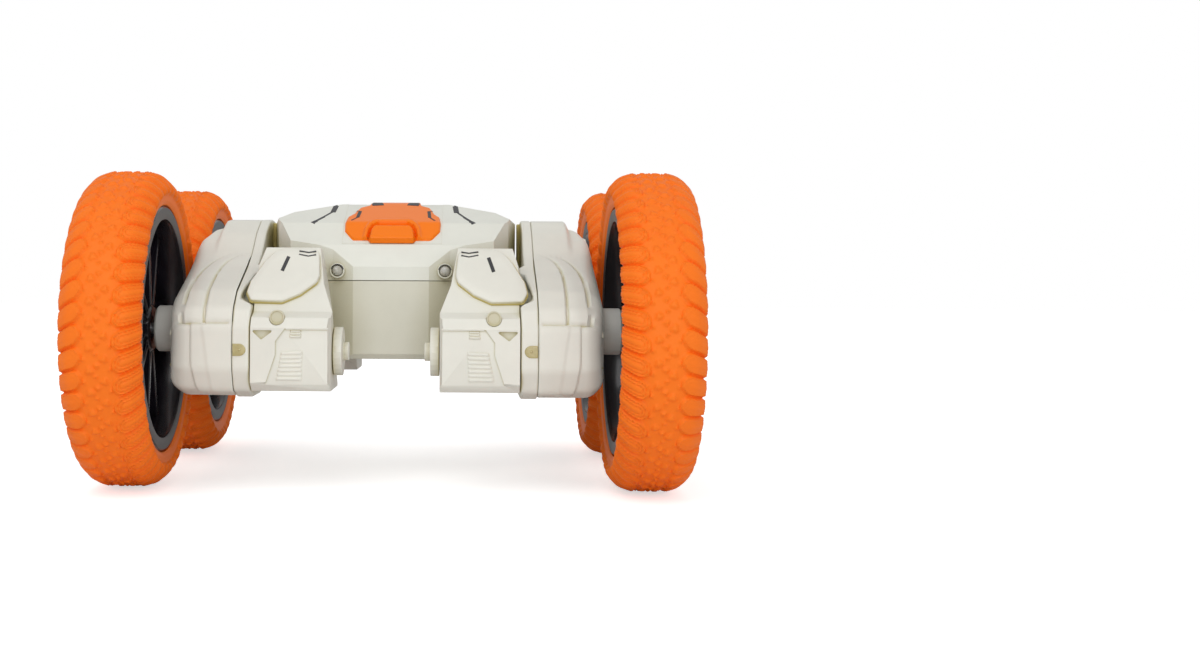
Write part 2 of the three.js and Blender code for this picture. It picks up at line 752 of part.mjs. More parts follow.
function addBody() {
  addPiece('lower_shell', toGeometry(lowerShellSolid()), SHELL_WHITE);
  addPiece('upper_shell', toGeometry(upperShellSolid()), SHELL_WHITE);
  addPiece('top_panel', toGeometry(topPanelSolid()), PANEL_ORANGE);
  addPiece('battery_door', toGeometry(box(
    [-DOOR.halfWidth, DOOR.front, BODY_BOTTOM], [DOOR.halfWidth, DOOR.back, 50])), SHELL_WHITE);
  addPiece('battery_pack', toGeometry(box([-30, -22, 51.2], [30, 36, 65.5])), BATTERY_BLUE);
  addPiece('circuit_board', toGeometry(circuitBoardSolid()), BOARD_GREEN);
  addPiece('left_led', ledGeometry(-LED_X), LED_CLEAR);
  addPiece('right_led', ledGeometry(LED_X), LED_CLEAR);
  addPiece('power_switch', toGeometry(powerSwitchSolid()), SWITCH_BLACK);
  addPiece('swing_motor', swingMotorGeometry(), MOTOR_STEEL);
  addPiece('swing_pinion', toGeometry(swingPinionSolid()), BRASS);
  for (const [name, x] of [['left', -PIVOT_X], ['right', PIVOT_X]]) {
    addPiece(`${name}_pivot_pin`, turnedZ(rodProfile(PIVOT_RADIUS, 54.4, 90), x, 0, 24), STEEL);
  }
}

// ------------------------------------------------------------------- the car
CORNERS.forEach(addWheel);
addArm('left', -1);
addArm('right', 1);
addSectors();
addBody();

export default car;
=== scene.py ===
"""A four-wheel stunt car with two swinging side arms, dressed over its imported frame.

The builders work in millimetres, and a mesh becomes metres when it is finished.
X runs across the car, the front faces -Y and Z is up. A shape that repeats at the
corners is drawn at the right front and reflected.
"""
import logging
import math
from collections.abc import Callable
from dataclasses import dataclass, field
from enum import Enum

import bmesh
import bpy
from mathutils import Matrix, Vector
from mathutils.bvhtree import BVHTree


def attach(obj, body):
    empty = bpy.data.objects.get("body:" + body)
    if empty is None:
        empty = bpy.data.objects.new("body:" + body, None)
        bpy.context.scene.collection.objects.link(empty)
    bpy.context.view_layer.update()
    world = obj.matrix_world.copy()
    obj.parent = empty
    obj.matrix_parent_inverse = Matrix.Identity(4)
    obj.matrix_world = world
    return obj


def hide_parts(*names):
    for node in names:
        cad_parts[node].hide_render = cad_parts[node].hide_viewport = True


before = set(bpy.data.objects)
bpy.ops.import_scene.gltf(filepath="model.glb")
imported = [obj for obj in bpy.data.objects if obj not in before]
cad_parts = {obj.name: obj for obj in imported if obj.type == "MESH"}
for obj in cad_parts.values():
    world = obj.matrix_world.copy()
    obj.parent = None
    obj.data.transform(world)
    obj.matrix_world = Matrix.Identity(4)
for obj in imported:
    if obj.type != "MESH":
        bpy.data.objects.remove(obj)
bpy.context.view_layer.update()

LOG = logging.getLogger("stunt_car")
MM = 0.001
SHARP_ANGLE = math.radians(38)
FLAT_ANGLE = math.radians(0.5)
CLOSE = 0.01
VERY_CLOSE = 1e-4
EDGE_STEPS = 3

Flat = tuple[float, float]
Point = tuple[float, float, float]


class Side(Enum):
    """The left and the right of the car."""

    LEFT = -1
    RIGHT = 1


class End(Enum):
    """The front and the rear of the car."""

    FRONT = 1
    REAR = -1


class Axis(Enum):
    """The line that an outline is drawn out along."""

    X = 0
    Y = 1
    Z = 2


class Join(Enum):
    """How a tool changes a solid."""

    CUT = "DIFFERENCE"
    ADD = "UNION"


@dataclass(frozen=True)
class Corner:
    """One of the four corners of the car."""

    side: Side
    end: End

    @property
    def name(self) -> str:
        """The corner's name in the frame, such as left_front."""
        return f"{self.side.name.lower()}_{self.end.name.lower()}"

    @property
    def arm(self) -> str:
        """The body of the arm that this corner belongs to."""
        return f"{self.side.name.lower()}_arm"


CORNERS = [Corner(side, end) for end in End for side in Side]


# ------------------------------------------------------------------ small maths
def mix(a: float, b: float, share: float) -> float:
    """A value part of the way from a to b.

    Args:
        a: The value at share 0.
        b: The value at share 1.
        share: How far along.

    Returns:
        The blended value.
    """
    return a + (b - a) * share


def step(low: float, high: float, value: float) -> float:
    """A soft step from 0 at low to 1 at high.

    Args:
        low: Where the step begins.
        high: Where it ends.
        value: The value tested.

    Returns:
        A share from 0 to 1.
    """
    share = min(1.0, max(0.0, (value - low) / (high - low)))
    return share * share * (3 - 2 * share)


def ridge(centre: float, width: float, value: float) -> float:
    """A soft ridge, 1 at its centre.

    Args:
        centre: Where the ridge is.
        width: How wide it is.
        value: The value tested.

    Returns:
        A share from 0 to 1.
    """
    return math.exp(-(((value - centre) / (width / 2)) ** 2))


def read_curve(points: list[Flat], value: float) -> float:
    """Reads a curve given by a few points.

    Args:
        points: (value, result) pairs in rising order of value.
        value: Where to read.

    Returns:
        The result there, level past either end.
    """
    if value <= points[0][0]:
        return points[0][1]
    for (v0, r0), (v1, r1) in zip(points, points[1:]):
        if value <= v1:
            return mix(r0, r1, (value - v0) / (v1 - v0))
    return points[-1][1]


def soft_minimum(a: float, b: float, softness: float) -> float:
    """The smaller of two values, blended where they are close.

    Args:
        a: One value.
        b: The other value.
        softness: How close counts as close.

    Returns:
        The blended minimum.
    """
    low, high = min(a, b), max(a, b)
    return low - softness * math.log1p(math.exp((low - high) / softness))


def rounded(points: list[Flat], radii: list[float] | float, closed: bool = True,
            steps: int = 6) -> list[Flat]:
    """Rounds the corners of an outline.

    Args:
        points: The outline's corners, in order.
        radii: One corner radius, or one for each corner.
        closed: Whether the outline joins up.
        steps: The number of stretches in each arc.

    Returns:
        The outline with an arc at each corner.
    """
    sizes = radii if isinstance(radii, list) else [radii] * len(points)
    outline = []
    for i, corner in enumerate(points):
        here = Vector(corner)
        if not closed and i in (0, len(points) - 1):
            outline.append(corner)
            continue
        before = Vector(points[i - 1]) - here
        after = Vector(points[(i + 1) % len(points)]) - here
        reach = sizes[i] / math.tan(before.angle(after) / 2) if sizes[i] else 0
        reach = min(reach, before.length * 0.49, after.length * 0.49)
        if reach < 1e-3:
            outline.append(corner)
            continue
        start = here + before.normalized() * reach
        end = here + after.normalized() * reach
        for k in range(steps + 1):
            t = k / steps
            bend = start * (1 - t) ** 2 + here * 2 * t * (1 - t) + end * t * t
            outline.append((bend.x, bend.y))
    return outline


def resampled(points: list[Flat], count: int) -> list[Flat]:
    """Spaces points evenly along an open line.

    Args:
        points: The line's points.
        count: How many points to return, both ends among them.

    Returns:
        The line, resampled by length.
    """
    line = [Vector(p) for p in points]
    lengths = [0.0]
    for a, b in zip(line, line[1:]):
        lengths.append(lengths[-1] + (b - a).length)
    result = []
    segment = 0
    for i in range(count):
        target = lengths[-1] * i / (count - 1)
        while segment < len(line) - 2 and lengths[segment + 1] < target:
            segment += 1
        span = lengths[segment + 1] - lengths[segment]
        share = (target - lengths[segment]) / span if span else 0
        point = line[segment].lerp(line[segment + 1], share)
        result.append((point.x, point.y))
    return result


# -------------------------------------------------------------------- mesh tools
def place(axis: Axis, u: float, v: float, depth: float) -> Point:
    """A point of a drawn-out outline.

    Args:
        axis: The line that the outline is drawn out along.
        u: The outline's first value.
        v: The outline's second value.
        depth: The distance along the axis.

    Returns:
        The point: an outline is (y, z) along X, (x, z) along Y and (x, y) along Z.
    """
    return {Axis.X: (depth, u, v), Axis.Y: (u, depth, v), Axis.Z: (u, v, depth)}[axis]


def prism(outline: list[Flat], axis: Axis, low: float, high: float,
          edge: float = 0.0) -> bmesh.types.BMesh:
    """Draws an outline out into a solid.

    Args:
        outline: The outline's points.
        axis: The line that it is drawn out along.
        low: Where the solid begins.
        high: Where it ends.
        edge: The radius of the edges round both ends.

    Returns:
        The solid, with its faces outward.
    """
    work = bmesh.new()
    base = work.faces.new([work.verts.new(place(axis, u, v, low)) for u, v in outline])
    out = bmesh.ops.extrude_face_region(work, geom=[base], use_keep_orig=True)
    moved = [g for g in out["geom"] if isinstance(g, bmesh.types.BMVert)]
    bmesh.ops.translate(work, verts=moved, vec=Vector(place(axis, 0, 0, high - low)))
    bmesh.ops.recalc_face_normals(work, faces=work.faces)
    if edge:
        ends = [f for f in work.faces if len(f.verts) == len(outline) and
                abs(f.normal[axis.value]) > 0.99]
        rims = list({e for f in ends for e in f.edges})
        bmesh.ops.bevel(work, geom=rims, offset=edge, offset_type="OFFSET", segments=4,
                        profile=0.5, affect="EDGES", clamp_overlap=True, material=-1)
    return work


def inset_outline(points: list[Flat], distance: float) -> list[Flat]:
    """Moves the sides of an outline inward.

    Args:
        points: The outline's corners, in order.
        distance: How far each side moves in.

    Returns:
        The smaller outline's corners.
    """
    area = sum(a[0] * b[1] - b[0] * a[1] for a, b in zip(points, points[1:] + points[:1]))
    turn = 1 if area > 0 else -1
    result = []
    for i, here in enumerate(points):
        first = (Vector(here) - Vector(points[i - 1])).normalized()
        second = (Vector(points[(i + 1) % len(points)]) - Vector(here)).normalized()
        inward = (Vector((-first.y, first.x)) + Vector((-second.y, second.x))) * turn
        reach = distance / max(0.3, inward.length_squared / 2)
        result.append((here[0] + inward.x * reach, here[1] + inward.y * reach))
    return result


def loft(rings: list[list[Point]]) -> bmesh.types.BMesh:
    """Bridges rings of points into a closed solid.

    Args:
        rings: Rings of the same number of points, from one end to the other.

    Returns:
        The solid, with its ends filled.
    """
    work = bmesh.new()
    loops = []
    for ring in rings:
        verts = [work.verts.new(p) for p in ring]
        loops.append([work.edges.new((a, b)) for a, b in zip(verts, verts[1:] + verts[:1])])
    for below, above in zip(loops, loops[1:]):
        bmesh.ops.bridge_loops(work, edges=below + above)
    for loop in (loops[0], loops[-1]):
        bmesh.ops.contextual_create(work, geom=loop)
    bmesh.ops.recalc_face_normals(work, faces=work.faces)
    return work


def box(low: Point, high: Point, edge: float = 0.0) -> bmesh.types.BMesh:
    """A block with rounded edges.

    Args:
        low: The lowest corner.
        high: The highest corner.
        edge: The radius of all its edges.

    Returns:
        The block.
    """
    work = bmesh.new()
    bmesh.ops.create_cube(work, size=1.0)
    for vert in work.verts:
        vert.co = Vector([mix(low[k], high[k], vert.co[k] + 0.5) for k in range(3)])
    if edge:
        bmesh.ops.bevel(work, geom=work.edges[:], offset=edge, offset_type="OFFSET",
                        segments=EDGE_STEPS, profile=0.5, affect="EDGES", clamp_overlap=True,
                        material=-1)
    return work


def lathe(profile: list[Flat], axis: Axis, centre: Flat, steps: int = 96) -> bmesh.types.BMesh:
    """Spins a closed outline round a line.

    Args:
        profile: (radius, distance along the line) points of a closed outline.
        axis: The line's direction.
        centre: Where the line passes, in the other two coordinates.
        steps: How many stretches the circle has.

    Returns:
        The turned solid.
    """
    work = bmesh.new()
    verts = [work.verts.new(place(axis, centre[0] + r, centre[1], d)) for r, d in profile]
    edges = [work.edges.new((a, b)) for a, b in zip(verts, verts[1:] + verts[:1])]
    bmesh.ops.spin(work, geom=verts + edges, cent=place(axis, centre[0], centre[1], 0),
                   axis=place(axis, 0, 0, 1), dvec=(0, 0, 0), angle=2 * math.pi,
                   steps=steps, use_merge=True)
    bmesh.ops.remove_doubles(work, verts=work.verts, dist=VERY_CLOSE)
    bmesh.ops.recalc_face_normals(work, faces=work.faces)
    return work


def drape(columns: int, rows: int, at: Callable[[int, int], Point]) -> bmesh.types.BMesh:
    """Lays a grid over a surface.

    Args:
        columns: The number of stretches one way.
        rows: The number of stretches the other way.
        at: Gives the point for a column and a row.

    Returns:
        The grid, with points that meet merged.
    """
    work = bmesh.new()
    bmesh.ops.create_grid(work, x_segments=columns, y_segments=rows, size=0.5)
    for vert in work.verts:
        vert.co = at(round((vert.co.x + 0.5) * columns), round((vert.co.y + 0.5) * rows))
    bmesh.ops.remove_doubles(work, verts=work.verts, dist=1e-3)
    bmesh.ops.recalc_face_normals(work, faces=work.faces)
    return work


def thicken(work: bmesh.types.BMesh, wall: float) -> bmesh.types.BMesh:
    """Gives an open skin a wall on its inner side.

    Args:
        work: The skin, with its faces outward, which is used up.
        wall: The wall's thickness.

    Returns:
        The closed wall.
    """
    mesh = bpy.data.meshes.new("walling")
    work.to_mesh(mesh)
    work.free()
    skin = bpy.data.objects.new("walling", mesh)
    bpy.context.scene.collection.objects.link(skin)
    change = skin.modifiers.new("wall", "SOLIDIFY")
    change.thickness = wall
    change.offset = -1.0
    change.use_even_offset = False
    ready = skin.evaluated_get(bpy.context.evaluated_depsgraph_get())
    result = bmesh.new()
    result.from_mesh(ready.to_mesh())
    bpy.data.objects.remove(skin)
    bpy.data.meshes.remove(mesh)
    return result


def gather(*parts: bmesh.types.BMesh) -> bmesh.types.BMesh:
    """Puts several meshes into one.

    Args:
        parts: The meshes, which are used up.

    Returns:
        One mesh of them all.
    """
    whole = bmesh.new()
    for part in parts:
        mesh = bpy.data.meshes.new("part")
        part.to_mesh(mesh)
        part.free()
        whole.from_mesh(mesh)
        bpy.data.meshes.remove(mesh)
    return whole


def carve(work: bmesh.types.BMesh, tool: bmesh.types.BMesh, how: Join) -> bmesh.types.BMesh:
    """Cuts a tool out of a solid or adds it.

    Args:
        work: The solid, which is used up.
        tool: The tool, which is used up.
        how: Whether it cuts or adds.

    Returns:
        The changed solid.
    """
    objects = []
    for part in (work, tool):
        mesh = bpy.data.meshes.new("carving")
        part.to_mesh(mesh)
        part.free()
        objects.append(bpy.data.objects.new("carving", mesh))
        bpy.context.scene.collection.objects.link(objects[-1])
    change = objects[0].modifiers.new("carve", "BOOLEAN")
    change.operation = how.value
    change.solver = "EXACT"
    change.object = objects[1]
    ready = objects[0].evaluated_get(bpy.context.evaluated_depsgraph_get())
    result = bmesh.new()
    result.from_mesh(ready.to_mesh())
    for made in objects:
        mesh = made.data
        bpy.data.objects.remove(made)
        bpy.data.meshes.remove(mesh)
    bmesh.ops.remove_doubles(result, verts=result.verts, dist=VERY_CLOSE)
    return result


def at_corner(work: bmesh.types.BMesh, corner: Corner) -> bmesh.types.BMesh:
    """A copy of a right front shape at another corner.

    Args:
        work: The shape, drawn at the right front.
        corner: The corner it goes to.

    Returns:
        The reflected copy.
    """
    copy = work.copy()
    across, along = corner.side.value, corner.end.value
    bmesh.ops.scale(copy, vec=(across, along, 1), verts=copy.verts)
    if across * along < 0:
        bmesh.ops.reverse_faces(copy, faces=copy.faces)
    return copy


def both_ends(work: bmesh.types.BMesh) -> bmesh.types.BMesh:
    """Completes a front half with its reflection at the rear.

    Args:
        work: The half that ends on the middle plane.

    Returns:
        The whole, joined in the middle.
    """
    bmesh.ops.mirror(work, geom=work.verts[:] + work.edges[:] + work.faces[:],
                     matrix=Matrix.Identity(4), merge_dist=0.02, axis="Y")
    bmesh.ops.remove_doubles(work, verts=work.verts, dist=CLOSE)
    bmesh.ops.recalc_face_normals(work, faces=work.faces)
    return work


def from_node(node: str) -> bmesh.types.BMesh:
    """A clean copy of a frame node's solid.

    Args:
        node: The node's name.

    Returns:
        The solid in millimetres, with its flat faces whole.
    """
    work = bmesh.new()
    work.from_mesh(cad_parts[node].data)
    bmesh.ops.scale(work, vec=(1 / MM,) * 3, verts=work.verts)
    bmesh.ops.remove_doubles(work, verts=work.verts, dist=CLOSE)
    bmesh.ops.dissolve_limit(work, angle_limit=FLAT_ANGLE, verts=work.verts,
                             edges=work.edges)
    bmesh.ops.recalc_face_normals(work, faces=work.faces)
    return work


def soften(work: bmesh.types.BMesh, radius: float, sharper_than: float = 25.0,
           where: Callable[[Vector], bool] | None = None) -> bmesh.types.BMesh:
    """Rounds the sharp edges of a solid.

    Args:
        work: The solid.
        radius: The size of the rounding.
        sharper_than: The least angle of an edge that is rounded, in degrees.
        where: Tells whether an edge at a place is rounded.

    Returns:
        The same solid.
    """
    chosen = [e for e in work.edges if len(e.link_faces) == 2 and
              e.calc_face_angle(0) > math.radians(sharper_than) and
              (where is None or where((e.verts[0].co + e.verts[1].co) / 2))]
    bmesh.ops.bevel(work, geom=chosen, offset=radius, offset_type="OFFSET",
                    segments=EDGE_STEPS, profile=0.5, affect="EDGES", clamp_overlap=True,
                    material=-1)
    return work


@dataclass(frozen=True)
class Fitting:
    """Where a finished piece belongs on the frame."""

    body: str
    slot: str
    nodes: tuple[str, ...] = ()


def finish_piece(work: bmesh.types.BMesh, name: str, material: bpy.types.Material,
                 fitting: Fitting, flat_faces: bool = False) -> bpy.types.Object:
    """Turns a mesh in the making into a finished piece of the car.

    Args:
        work: The mesh in millimetres, which is used up.
        name: The piece's name.
        material: Its finish.
        fitting: Its body and the nodes that it stands for.
        flat_faces: Whether large faces stay flat between their rounded edges.

    Returns:
        The finished object.
    """
    bmesh.ops.scale(work, vec=(MM,) * 3, verts=work.verts)
    mesh = bpy.data.meshes.new(name)
    work.to_mesh(mesh)
    work.free()
    mesh.materials.append(material)
    mesh.polygons.foreach_set("use_smooth", [True] * len(mesh.polygons))
    mesh.set_sharp_from_angle(angle=SHARP_ANGLE)
    piece = bpy.data.objects.new(name, mesh)
    bpy.context.scene.collection.objects.link(piece)
    if flat_faces:
        even = piece.modifiers.new("flat_faces", "WEIGHTED_NORMAL")
        even.weight = 100
        even.keep_sharp = True
    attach(piece, fitting.body)
    if fitting.nodes:
        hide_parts(*fitting.nodes)
    LOG.info("%s: %d faces on %s", name, len(mesh.polygons), fitting.body)
    return piece


# ---------------------------------------------------------------------- finishes
def start_material(name: str) -> tuple[bpy.types.Material, bpy.types.Node]:
    """Starts a material with its shader and its output.

    Args:
        name: The material's name.

    Returns:
        The material and its Principled shader.
    """
    material = bpy.data.materials.new(name)
    material.use_nodes = True
    nodes, links = material.node_tree.nodes, material.node_tree.links
    nodes.clear()
    output = nodes.new("ShaderNodeOutputMaterial")
    output.label = "finished surface"
    output.location = (700, 0)
    shader = nodes.new("ShaderNodeBsdfPrincipled")
    shader.label = name.replace("_", " ")
    shader.location = (400, 0)
    links.new(shader.outputs["BSDF"], output.inputs["Surface"])
    return material, shader


@dataclass(frozen=True)
class Moulding:
    """Injection-moulded plastic or rubber: a colour, painted shade that ambient occlusion
    darkens into crevices, and a fine grain.
    """

    name: str
    colour: Point
    # painted shade colour, blended in where ambient occlusion finds crevices and gaps between
    # parts
    painted_shade: Point
    roughness: float
    grain_size: float = 0.35
    grain_depth: float = 0.01
    mottle: float = 0.03
    painted_shade_reach: float = 7.0
    specular: float = 0.5
    coat: float = 0.0

    def build(self) -> bpy.types.Material:
        """Writes the finish out as nodes.

        Returns:
            The material.
        """
        material, shader = start_material(self.name)
        nodes, links = material.node_tree.nodes, material.node_tree.links
        shader.inputs["IOR"].default_value = 1.47
        shader.inputs["Coat Weight"].default_value = self.coat
        shader.inputs["Coat Roughness"].default_value = 0.12
        shader.inputs["Specular IOR Level"].default_value = self.specular

        colour_frame = nodes.new("NodeFrame")
        colour_frame.label = "colour"
        grain_frame = nodes.new("NodeFrame")
        grain_frame.label = "moulded grain"

        place_node = nodes.new("ShaderNodeTexCoord")
        place_node.label = "place on the car"
        place_node.location = (-1300, 0)

        mottle = nodes.new("ShaderNodeTexNoise")
        mottle.label = "uneven pigment"
        mottle.location = (-1000, 300)
        mottle.parent = colour_frame
        mottle.inputs["Scale"].default_value = 55.0
        mottle.inputs["Detail"].default_value = 4.0
        mottle.inputs["Roughness"].default_value = 0.6

        tones = nodes.new("ShaderNodeValToRGB")
        tones.label = "pigment tones"
        tones.location = (-750, 300)
        tones.parent = colour_frame
        dark = [c * (1 - self.mottle) for c in self.colour]
        light = [min(1.0, c * (1 + self.mottle)) for c in self.colour]
        tones.color_ramp.elements[0].position = 0.3
        tones.color_ramp.elements[0].color = (*dark, 1)
        tones.color_ramp.elements[1].position = 0.7
        tones.color_ramp.elements[1].color = (*light, 1)

        # Painted shade: ambient occlusion pulls the colour towards the painted shade colour in
        # crevices and between parts.
        shade_occlusion = nodes.new("ShaderNodeAmbientOcclusion")
        shade_occlusion.label = "occlusion for painted shade"
        shade_occlusion.location = (-1000, 0)
        shade_occlusion.parent = colour_frame
        shade_occlusion.samples = 8
        shade_occlusion.inputs["Distance"].default_value = self.painted_shade_reach * MM

        depth = nodes.new("ShaderNodeMapRange")
        depth.label = "painted shade share"
        depth.location = (-750, 0)
        depth.parent = colour_frame
        depth.inputs["From Min"].default_value = 0.25
        depth.inputs["From Max"].default_value = 0.85
        depth.inputs["To Min"].default_value = 1.0
        depth.inputs["To Max"].default_value = 0.0

        tint = nodes.new("ShaderNodeMix")
        tint.label = "paint shade into crevices"
        tint.location = (-450, 200)
        tint.parent = colour_frame
        tint.data_type = "RGBA"
        tint.inputs["B"].default_value = (*self.painted_shade, 1)

        grain = nodes.new("ShaderNodeTexNoise")
        grain.label = "fine grain"
        grain.location = (-1000, -350)
        grain.parent = grain_frame
        grain.inputs["Scale"].default_value = 1.0 / (self.grain_size * MM)
        grain.inputs["Detail"].default_value = 3.0

        shine = nodes.new("ShaderNodeMapRange")
        shine.label = "shine of the grain"
        shine.location = (-450, -200)
        shine.parent = grain_frame
        shine.inputs["To Min"].default_value = self.roughness - 0.05
        shine.inputs["To Max"].default_value = self.roughness + 0.07

        bump = nodes.new("ShaderNodeBump")
        bump.label = "grain relief"
        bump.location = (-450, -450)
        bump.parent = grain_frame
        bump.inputs["Strength"].default_value = 0.35
        bump.inputs["Distance"].default_value = self.grain_depth * MM

        links.new(place_node.outputs["Object"], mottle.inputs["Vector"])
        links.new(place_node.outputs["Object"], grain.inputs["Vector"])
        links.new(mottle.outputs["Fac"], tones.inputs["Fac"])
        links.new(shade_occlusion.outputs["AO"], depth.inputs["Value"])
        links.new(depth.outputs["Result"], tint.inputs["Factor"])
        links.new(tones.outputs["Color"], tint.inputs["A"])
        links.new(tint.outputs["Result"], shader.inputs["Base Color"])
        links.new(grain.outputs["Fac"], shine.inputs["Value"])
        links.new(shine.outputs["Result"], shader.inputs["Roughness"])
        links.new(grain.outputs["Fac"], bump.inputs["Height"])
        links.new(bump.outputs["Normal"], shader.inputs["Normal"])
        return material


@dataclass(frozen=True)
class BareMetal:
    """Turned or drawn metal with fine lines along the car's width."""

    name: str
    colour: Point
    roughness: float

    def build(self) -> bpy.types.Material:
        """Writes the finish out as nodes.

        Returns:
            The material.
        """
        material, shader = start_material(self.name)
        nodes, links = material.node_tree.nodes, material.node_tree.links
        shader.inputs["Metallic"].default_value = 1.0

        place_node = nodes.new("ShaderNodeTexCoord")
        place_node.label = "place on the car"
        place_node.location = (-1100, 0)
        stretch = nodes.new("ShaderNodeMapping")
        stretch.label = "draw lines out"
        stretch.location = (-900, 0)
        stretch.inputs["Scale"].default_value = (4.0, 1.0, 1.0)
        lines = nodes.new("ShaderNodeTexNoise")
        lines.label = "tool marks"
        lines.location = (-700, 0)
        lines.inputs["Scale"].default_value = 900.0
        tones = nodes.new("ShaderNodeValToRGB")
        tones.label = "metal tones"
        tones.location = (-400, 150)
        tones.color_ramp.elements[0].color = (*[c * 0.85 for c in self.colour], 1)
        tones.color_ramp.elements[1].color = (*self.colour, 1)
        shine = nodes.new("ShaderNodeMapRange")
        shine.label = "shine of the marks"
        shine.location = (-400, -150)
        shine.inputs["To Min"].default_value = self.roughness - 0.06
        shine.inputs["To Max"].default_value = self.roughness + 0.1

        links.new(place_node.outputs["Object"], stretch.inputs["Vector"])
        links.new(stretch.outputs["Vector"], lines.inputs["Vector"])
        links.new(lines.outputs["Fac"], tones.inputs["Fac"])
        links.new(lines.outputs["Fac"], shine.inputs["Value"])
        links.new(tones.outputs["Color"], shader.inputs["Base Color"])
        links.new(shine.outputs["Result"], shader.inputs["Roughness"])
        return material


@dataclass(frozen=True)
class ClearPlastic:
    """See-through or tinted plastic of a lens, a little cloudy inside."""

    name: str
    colour: Point
    cloud: Point
    roughness: float
    clearness: float

    def build(self) -> bpy.types.Material:
        """Writes the finish out as nodes.

        Returns:
            The material.
        """
        material, shader = start_material(self.name)
        nodes, links = material.node_tree.nodes, material.node_tree.links
        shader.inputs["IOR"].default_value = 1.5
        shader.inputs["Roughness"].default_value = self.roughness
        shader.inputs["Transmission Weight"].default_value = self.clearness
        shader.inputs["Coat Weight"].default_value = 0.5

        place_node = nodes.new("ShaderNodeTexCoord")
        place_node.label = "place on the car"
        place_node.location = (-900, 0)
        cloud = nodes.new("ShaderNodeTexNoise")
        cloud.label = "cloudy inside"
        cloud.location = (-650, 0)
        cloud.inputs["Scale"].default_value = 420.0
        tones = nodes.new("ShaderNodeValToRGB")
        tones.label = "clear to cloudy"
        tones.location = (-350, 0)
        tones.color_ramp.elements[0].position = 0.35
        tones.color_ramp.elements[0].color = (*self.cloud, 1)
        tones.color_ramp.elements[1].position = 0.65
        tones.color_ramp.elements[1].color = (*self.colour, 1)

        links.new(place_node.outputs["Object"], cloud.inputs["Vector"])
        links.new(cloud.outputs["Fac"], tones.inputs["Fac"])
        links.new(tones.outputs["Color"], shader.inputs["Base Color"])
        return material


@dataclass
class Paints:
    """All the finishes of the car, each made once."""

    # The second colour of each moulding is its painted shade colour, which ambient occlusion
    # blends into crevices and gaps.
    shell: bpy.types.Material = field(default_factory=Moulding(
        "shell_white", (0.79, 0.80, 0.725), (0.55, 0.51, 0.34), 0.36, painted_shade_reach=24.0).build)
    # The belly is the shell's white made darker and warmer: a shaded copy of the same plastic,
    # painted shade for the underside.
    shaded_belly: bpy.types.Material = field(default_factory=Moulding(
        "belly_white", (0.69, 0.675, 0.57), (0.50, 0.46, 0.29), 0.4, painted_shade_reach=24.0).build)
    arm: bpy.types.Material = field(default_factory=Moulding(
        "arm_white", (0.80, 0.795, 0.715), (0.56, 0.50, 0.26), 0.38, painted_shade_reach=6.0).build)
    collar: bpy.types.Material = field(default_factory=Moulding(
        "collar_grey_white", (0.60, 0.60, 0.56), (0.35, 0.34, 0.28), 0.4).build)
    rubber: bpy.types.Material = field(default_factory=Moulding(
        "tyre_orange_rubber", (1.0, 0.195, 0.011), (0.95, 0.15, 0.006), 0.5,
        grain_size=0.25, grain_depth=0.02, painted_shade_reach=1.6, mottle=0.04,
        specular=0.22).build)
    panel: bpy.types.Material = field(default_factory=Moulding(
        "panel_orange", (1.0, 0.215, 0.005), (0.95, 0.15, 0.002), 0.3,
        painted_shade_reach=2.5, mottle=0.02, specular=0.25).build)
    rim: bpy.types.Material = field(default_factory=Moulding(
        "rim_black", (0.010, 0.008, 0.012), (0.004, 0.003, 0.004), 0.22, coat=0.3,
        mottle=0.2).build)
    flange: bpy.types.Material = field(default_factory=Moulding(
        "flange_grey", (0.085, 0.085, 0.09), (0.03, 0.03, 0.03), 0.5, mottle=0.1).build)
    # Dark grey for the printed marks, also used for the painted shadow over the lamps.
    print_grey: bpy.types.Material = field(default_factory=Moulding(
        "printed_grey", (0.05, 0.05, 0.055), (0.03, 0.03, 0.035), 0.5, mottle=0.25).build)
    print_orange: bpy.types.Material = field(default_factory=Moulding(
        "printed_orange", (0.95, 0.28, 0.12), (0.8, 0.2, 0.08), 0.5).build)
    plug: bpy.types.Material = field(default_factory=Moulding(
        "plug_beige", (0.64, 0.61, 0.46), (0.5, 0.44, 0.22), 0.5).build)
    # A yellow-brown painted shade for the shadowed gaps round the pads and beside the pivots.
    shade_yellow: bpy.types.Material = field(default_factory=Moulding(
        "gasket_yellow", (0.62, 0.52, 0.20), (0.45, 0.36, 0.10), 0.5).build)
    nylon: bpy.types.Material = field(default_factory=Moulding(
        "gear_nylon", (0.68, 0.67, 0.60), (0.4, 0.38, 0.3), 0.45).build)
    board: bpy.types.Material = field(default_factory=Moulding(
        "board_green", (0.02, 0.12, 0.045), (0.01, 0.05, 0.02), 0.4).build)
    battery: bpy.types.Material = field(default_factory=Moulding(
        "battery_wrap", (0.025, 0.07, 0.17), (0.01, 0.03, 0.08), 0.35).build)
    black: bpy.types.Material = field(default_factory=Moulding(
        "switch_black", (0.02, 0.02, 0.021), (0.01, 0.01, 0.01), 0.5).build)
    steel: bpy.types.Material = field(default_factory=BareMetal(
        "steel", (0.55, 0.56, 0.57), 0.3).build)
    motor_steel: bpy.types.Material = field(default_factory=BareMetal(
        "motor_steel", (0.42, 0.43, 0.44), 0.36).build)
    brass: bpy.types.Material = field(default_factory=BareMetal(
        "brass", (0.60, 0.40, 0.12), 0.3).build)
    amber: bpy.types.Material = field(default_factory=ClearPlastic(
        "lens_amber", (0.62, 0.53, 0.25), (0.50, 0.42, 0.17), 0.2, 0.15).build)
    clear: bpy.types.Material = field(default_factory=ClearPlastic(
        "led_clear", (0.78, 0.77, 0.71), (0.60, 0.58, 0.48), 0.08, 0.3).build)


